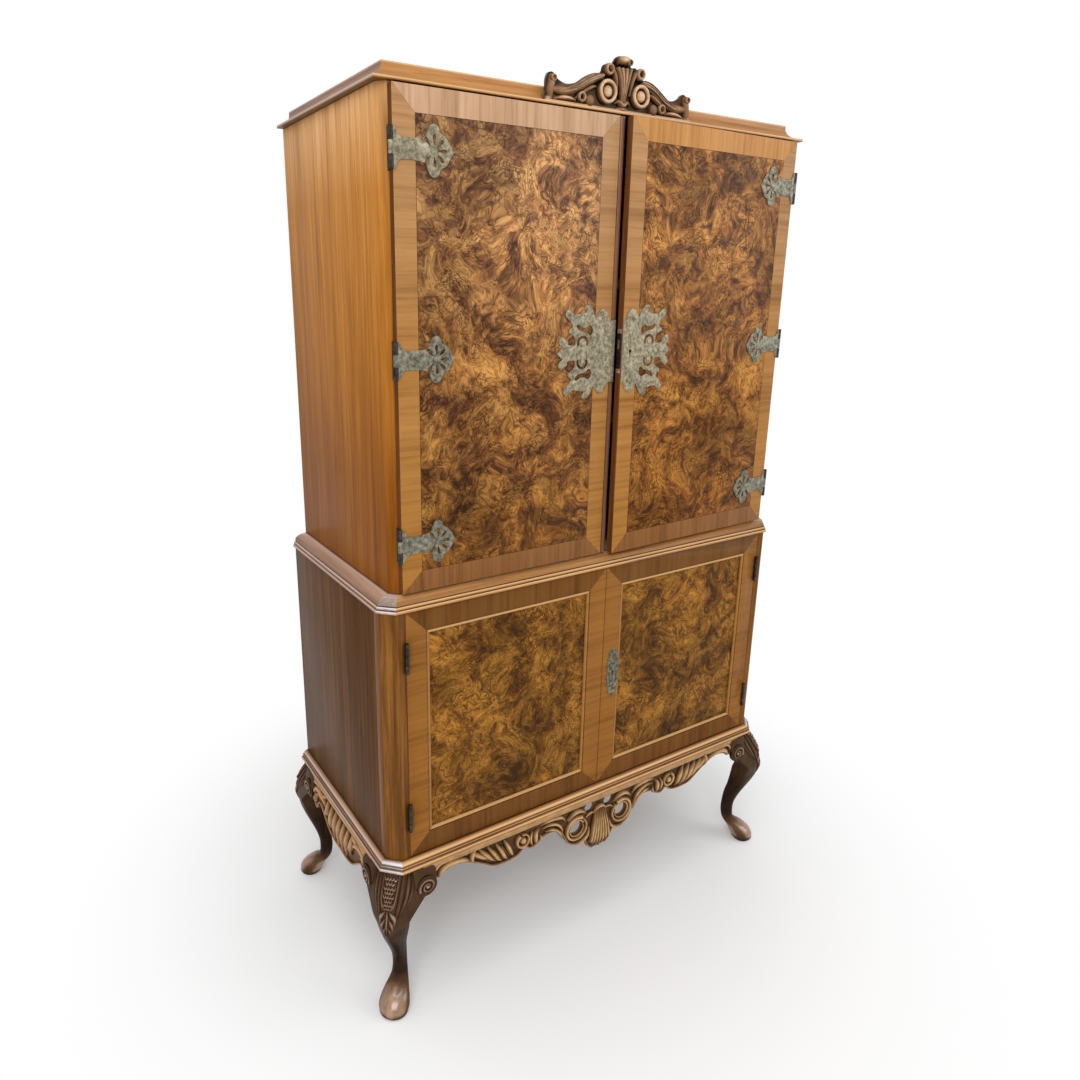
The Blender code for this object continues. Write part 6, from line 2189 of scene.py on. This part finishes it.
    def edge_plate(self, iron: Material, brass: Material) -> None:
        """Lock's edge plate, let into the right upper door's free edge, with bright ends.

        Args:
            iron: material of the plate.
            brass: material of its ends.
        """
        across = (-self.edge_half, self.edge_half)
        hole = rectangle((-0.0041, 0.0009), (0.0035, 0.0205))
        for name, loops, look, slot in (
                ("lock_edge_plate", [rectangle(across, (-0.031, 0.031)), hole], iron, Slot.IRON),
                ("lock_edge_end_low", [rectangle(across, (-0.0385, -0.0312))], brass, Slot.BRASS),
                ("lock_edge_end_high", [rectangle(across, (0.0312, 0.0385))], brass, Slot.BRASS)):
            carving = Carving()
            carving.add(filled_plate(loops, 0.0010, 0.0003), lambda co: 0.5)
            carving.lay(lambda co: Vector((self.edge_place[0] - co.z, self.edge_place[1] - co.x,
                                           self.plate_level + co.y)))
            carving.lay(swung)
            carving.finish(name, look, Body.UPPER_RIGHT, slot, (), 40.0)

    def escutcheon(self, look: Material) -> None:
        """Lobed plate round the lower keyhole.

        Args:
            look: its material.
        """
        right = [(u, -v) for u, v in reversed(self.scutcheon)] + [(self.scutcheon_waist, 0.0)] + list(self.scutcheon)
        points = right + [(0.0, self.scutcheon_half)] + [(-u, v) for u, v in reversed(right)]
        points.append((0.0, -self.scutcheon_half))
        loops = [smooth_curve(points, 2, True), self.key_loop(0.0, 0.0)]
        for up in (1, -1):
            loops.append(ellipse((0.0, up * 31), (2.2, 5.0)))
            loops += [ellipse((hand * 8.6, up * 13), (2.2, 3.4)) for hand in (1, -1)]
        carving = self.plate_piece(loops)
        for v in (44, -44):
            self.rivet(carving, 0, v)
        carving.lay(on_front(self.lower_face - self.proud, *self.scutcheon_place))
        carving.finish("escutcheon_pierced", look, Body.LOWER_RIGHT, Slot.BRASS, ("escutcheon",), 40.0)

    def build(self) -> None:
        """Builds the plates and straps and dresses the other fittings."""
        look = AgedMetal("brass_plates", painted_relief_light=True).material()
        strap = AgedMetal("brass_straps", painted_relief_light=True, deep=(0.065, 0.060, 0.040), body=(0.170, 0.160, 0.112),
                          bright=(0.360, 0.340, 0.255)).material()
        black = AgedMetal("hinge_black", deep=(0.008, 0.007, 0.006), body=(0.022, 0.019, 0.015),
                          bright=(0.090, 0.075, 0.055), metallic=0.5).material()
        bolt = AgedMetal("bolt_brass").material()
        iron = AgedMetal("lock_black", deep=(0.006, 0.006, 0.006), body=(0.018, 0.016, 0.014),
                         bright=(0.070, 0.065, 0.060), metallic=0.5).material()
        pink = AgedMetal("edge_brass", deep=(0.300, 0.160, 0.110), body=(0.520, 0.300, 0.230),
                         bright=(0.750, 0.520, 0.430), metallic=0.5, rough=0.35).material()
        for side in (-1, 1):
            for number, level in enumerate(self.strap_levels, 1):
                self.strap_hinge(side, number, level, look if (side, number) == (-1, 3) else strap)
            self.lock_plate(side, look)
        self.edge_plate(iron, pink)
        self.escutcheon(AgedMetal("brass_escutcheon", painted_relief_light=True, deep=(0.030, 0.030, 0.022),
                                  body=(0.115, 0.112, 0.080), bright=(0.330, 0.320, 0.240)).material())
        for hand in HANDS:
            dress_nodes(black, *(f"strap_leaf_{hand}_{number}" for number in (1, 2, 3)))
            dress_nodes(black, *(f"butt_{part}_{hand}_{number}" for number in (1, 2) for part in ("hinge", "leaf")))
        dress_nodes(bolt, "upper_left_bolt", "lower_left_bolt", "upper_lock_bolt", "lower_lock_bolt")
        dress_nodes(iron, "upper_lock_case", "lower_lock_case")


@dataclass
class Studio:
    """Pale floor, soft lamps and the camera."""

    eye: tuple = (-0.9636, -1.304, 1.3107)
    azimuth: float = 31.363
    tilt: float = -15.362
    roll: float = 0.142
    lens: float = 26.11
    shift_x: float = 0.0607
    shift_y: float = -0.0306

    def camera(self) -> None:
        """Camera at the photograph's place."""
        turn, lift, roll = (math.radians(value) for value in (self.azimuth, self.tilt, self.roll))
        ahead = Vector((math.sin(turn) * math.cos(lift), math.cos(turn) * math.cos(lift), math.sin(lift)))
        right = ahead.cross(Vector((0.0, 0.0, 1.0))).normalized()
        upward = right.cross(ahead)
        across = math.cos(roll) * right + math.sin(roll) * upward
        upright = -math.sin(roll) * right + math.cos(roll) * upward
        data = bpy.data.cameras.new("studio_camera")
        data.sensor_fit = "AUTO"
        data.sensor_width = 36.0
        data.lens = self.lens
        data.shift_x = self.shift_x
        data.shift_y = self.shift_y
        data.clip_end = 50.0
        camera = put_in_scene("studio_camera", data)
        place = Matrix((across, upright, -ahead)).transposed().to_4x4()
        camera.matrix_world = Matrix.Translation(self.eye) @ place
        bpy.context.scene.camera = camera

    def floor(self) -> None:
        """Pale floor that runs out to white."""
        bm = bmesh.new()
        bmesh.ops.create_grid(bm, x_segments=1, y_segments=1, size=30.0)
        mesh = bpy.data.meshes.new("studio_floor")
        bm.to_mesh(mesh)
        bm.free()
        made, graph, shader = Finish("floor_paper").start()
        graph.fill(shader, {"Base Color": (0.93, 0.93, 0.93, 1.0), "Roughness": 0.9, "Specular IOR Level": 0.0})
        glow = graph.add("ShaderNodeEmission", {"Color": (1.0, 1.0, 1.0, 1.0), "Strength": 1.0})
        distance = graph.add("ShaderNodeVectorMath", {0: graph.place()}, operation="LENGTH")
        path = graph.add("ShaderNodeLightPath").outputs
        share = graph.times(graph.step(distance.outputs["Value"], 0.35, 1.1), path["Is Camera Ray"])
        mixed = graph.add("ShaderNodeMixShader", {0: share, 1: shader.outputs[0], 2: glow.outputs[0]})
        graph.feed(made.node_tree.nodes["Material Output"].inputs["Surface"], mixed.outputs[0])
        mesh.materials.append(made)
        floor = put_in_scene("studio_floor", mesh)

    def lamps(self) -> None:
        """Large soft lamps and a plain bright surround."""
        world = bpy.data.worlds.new("studio_world")
        bpy.context.scene.world = world
        world.use_nodes = True
        graph = Graph(world.node_tree)
        back = world.node_tree.nodes["Background"]
        path = graph.add("ShaderNodeLightPath").outputs
        strength = graph.math("ADD", graph.times(path["Is Camera Ray"], 0.42), 0.58)
        graph.fill(back, {"Color": (1.0, 1.0, 1.0, 1.0), "Strength": strength})
        for name, place, aim, size, power in (
                ("key_lamp", (-2.2, -2.6, 2.9), (0.0, 0.0, 0.9), 2.2, 62.0),
                ("fill_lamp", (2.6, -2.2, 2.0), (0.0, 0.0, 0.8), 2.4, 34.0),
                ("top_lamp", (-0.6, -0.4, 3.6), (0.0, 0.0, 1.0), 1.8, 22.0)):
            data = bpy.data.lights.new(name, "AREA")
            data.shape = "SQUARE"
            data.size = size
            data.energy = power
            lamp = put_in_scene(name, data)
            turn = (Vector(aim) - Vector(place)).to_track_quat("-Z", "Y")
            lamp.matrix_world = Matrix.Translation(place) @ turn.to_matrix().to_4x4()

    def build(self) -> None:
        """Sets up camera, floor and lamps, and the plain view."""
        self.camera()
        self.floor()
        self.lamps()
        bpy.context.scene.view_settings.view_transform = "Standard"


def main() -> None:
    """Builds the cabinet from its boards to its fittings, then the studio."""
    logging.basicConfig(level=logging.INFO, format="%(message)s")
    Carcass().build()
    Mouldings().build()
    UpperDoors().build()
    LowerDoors().build()
    CarvedAprons().build()
    Crest().build()
    CabrioleLegs().build()
    BrassFittings().build()
    Studio().build()


if __name__ == "__main__":
    main()
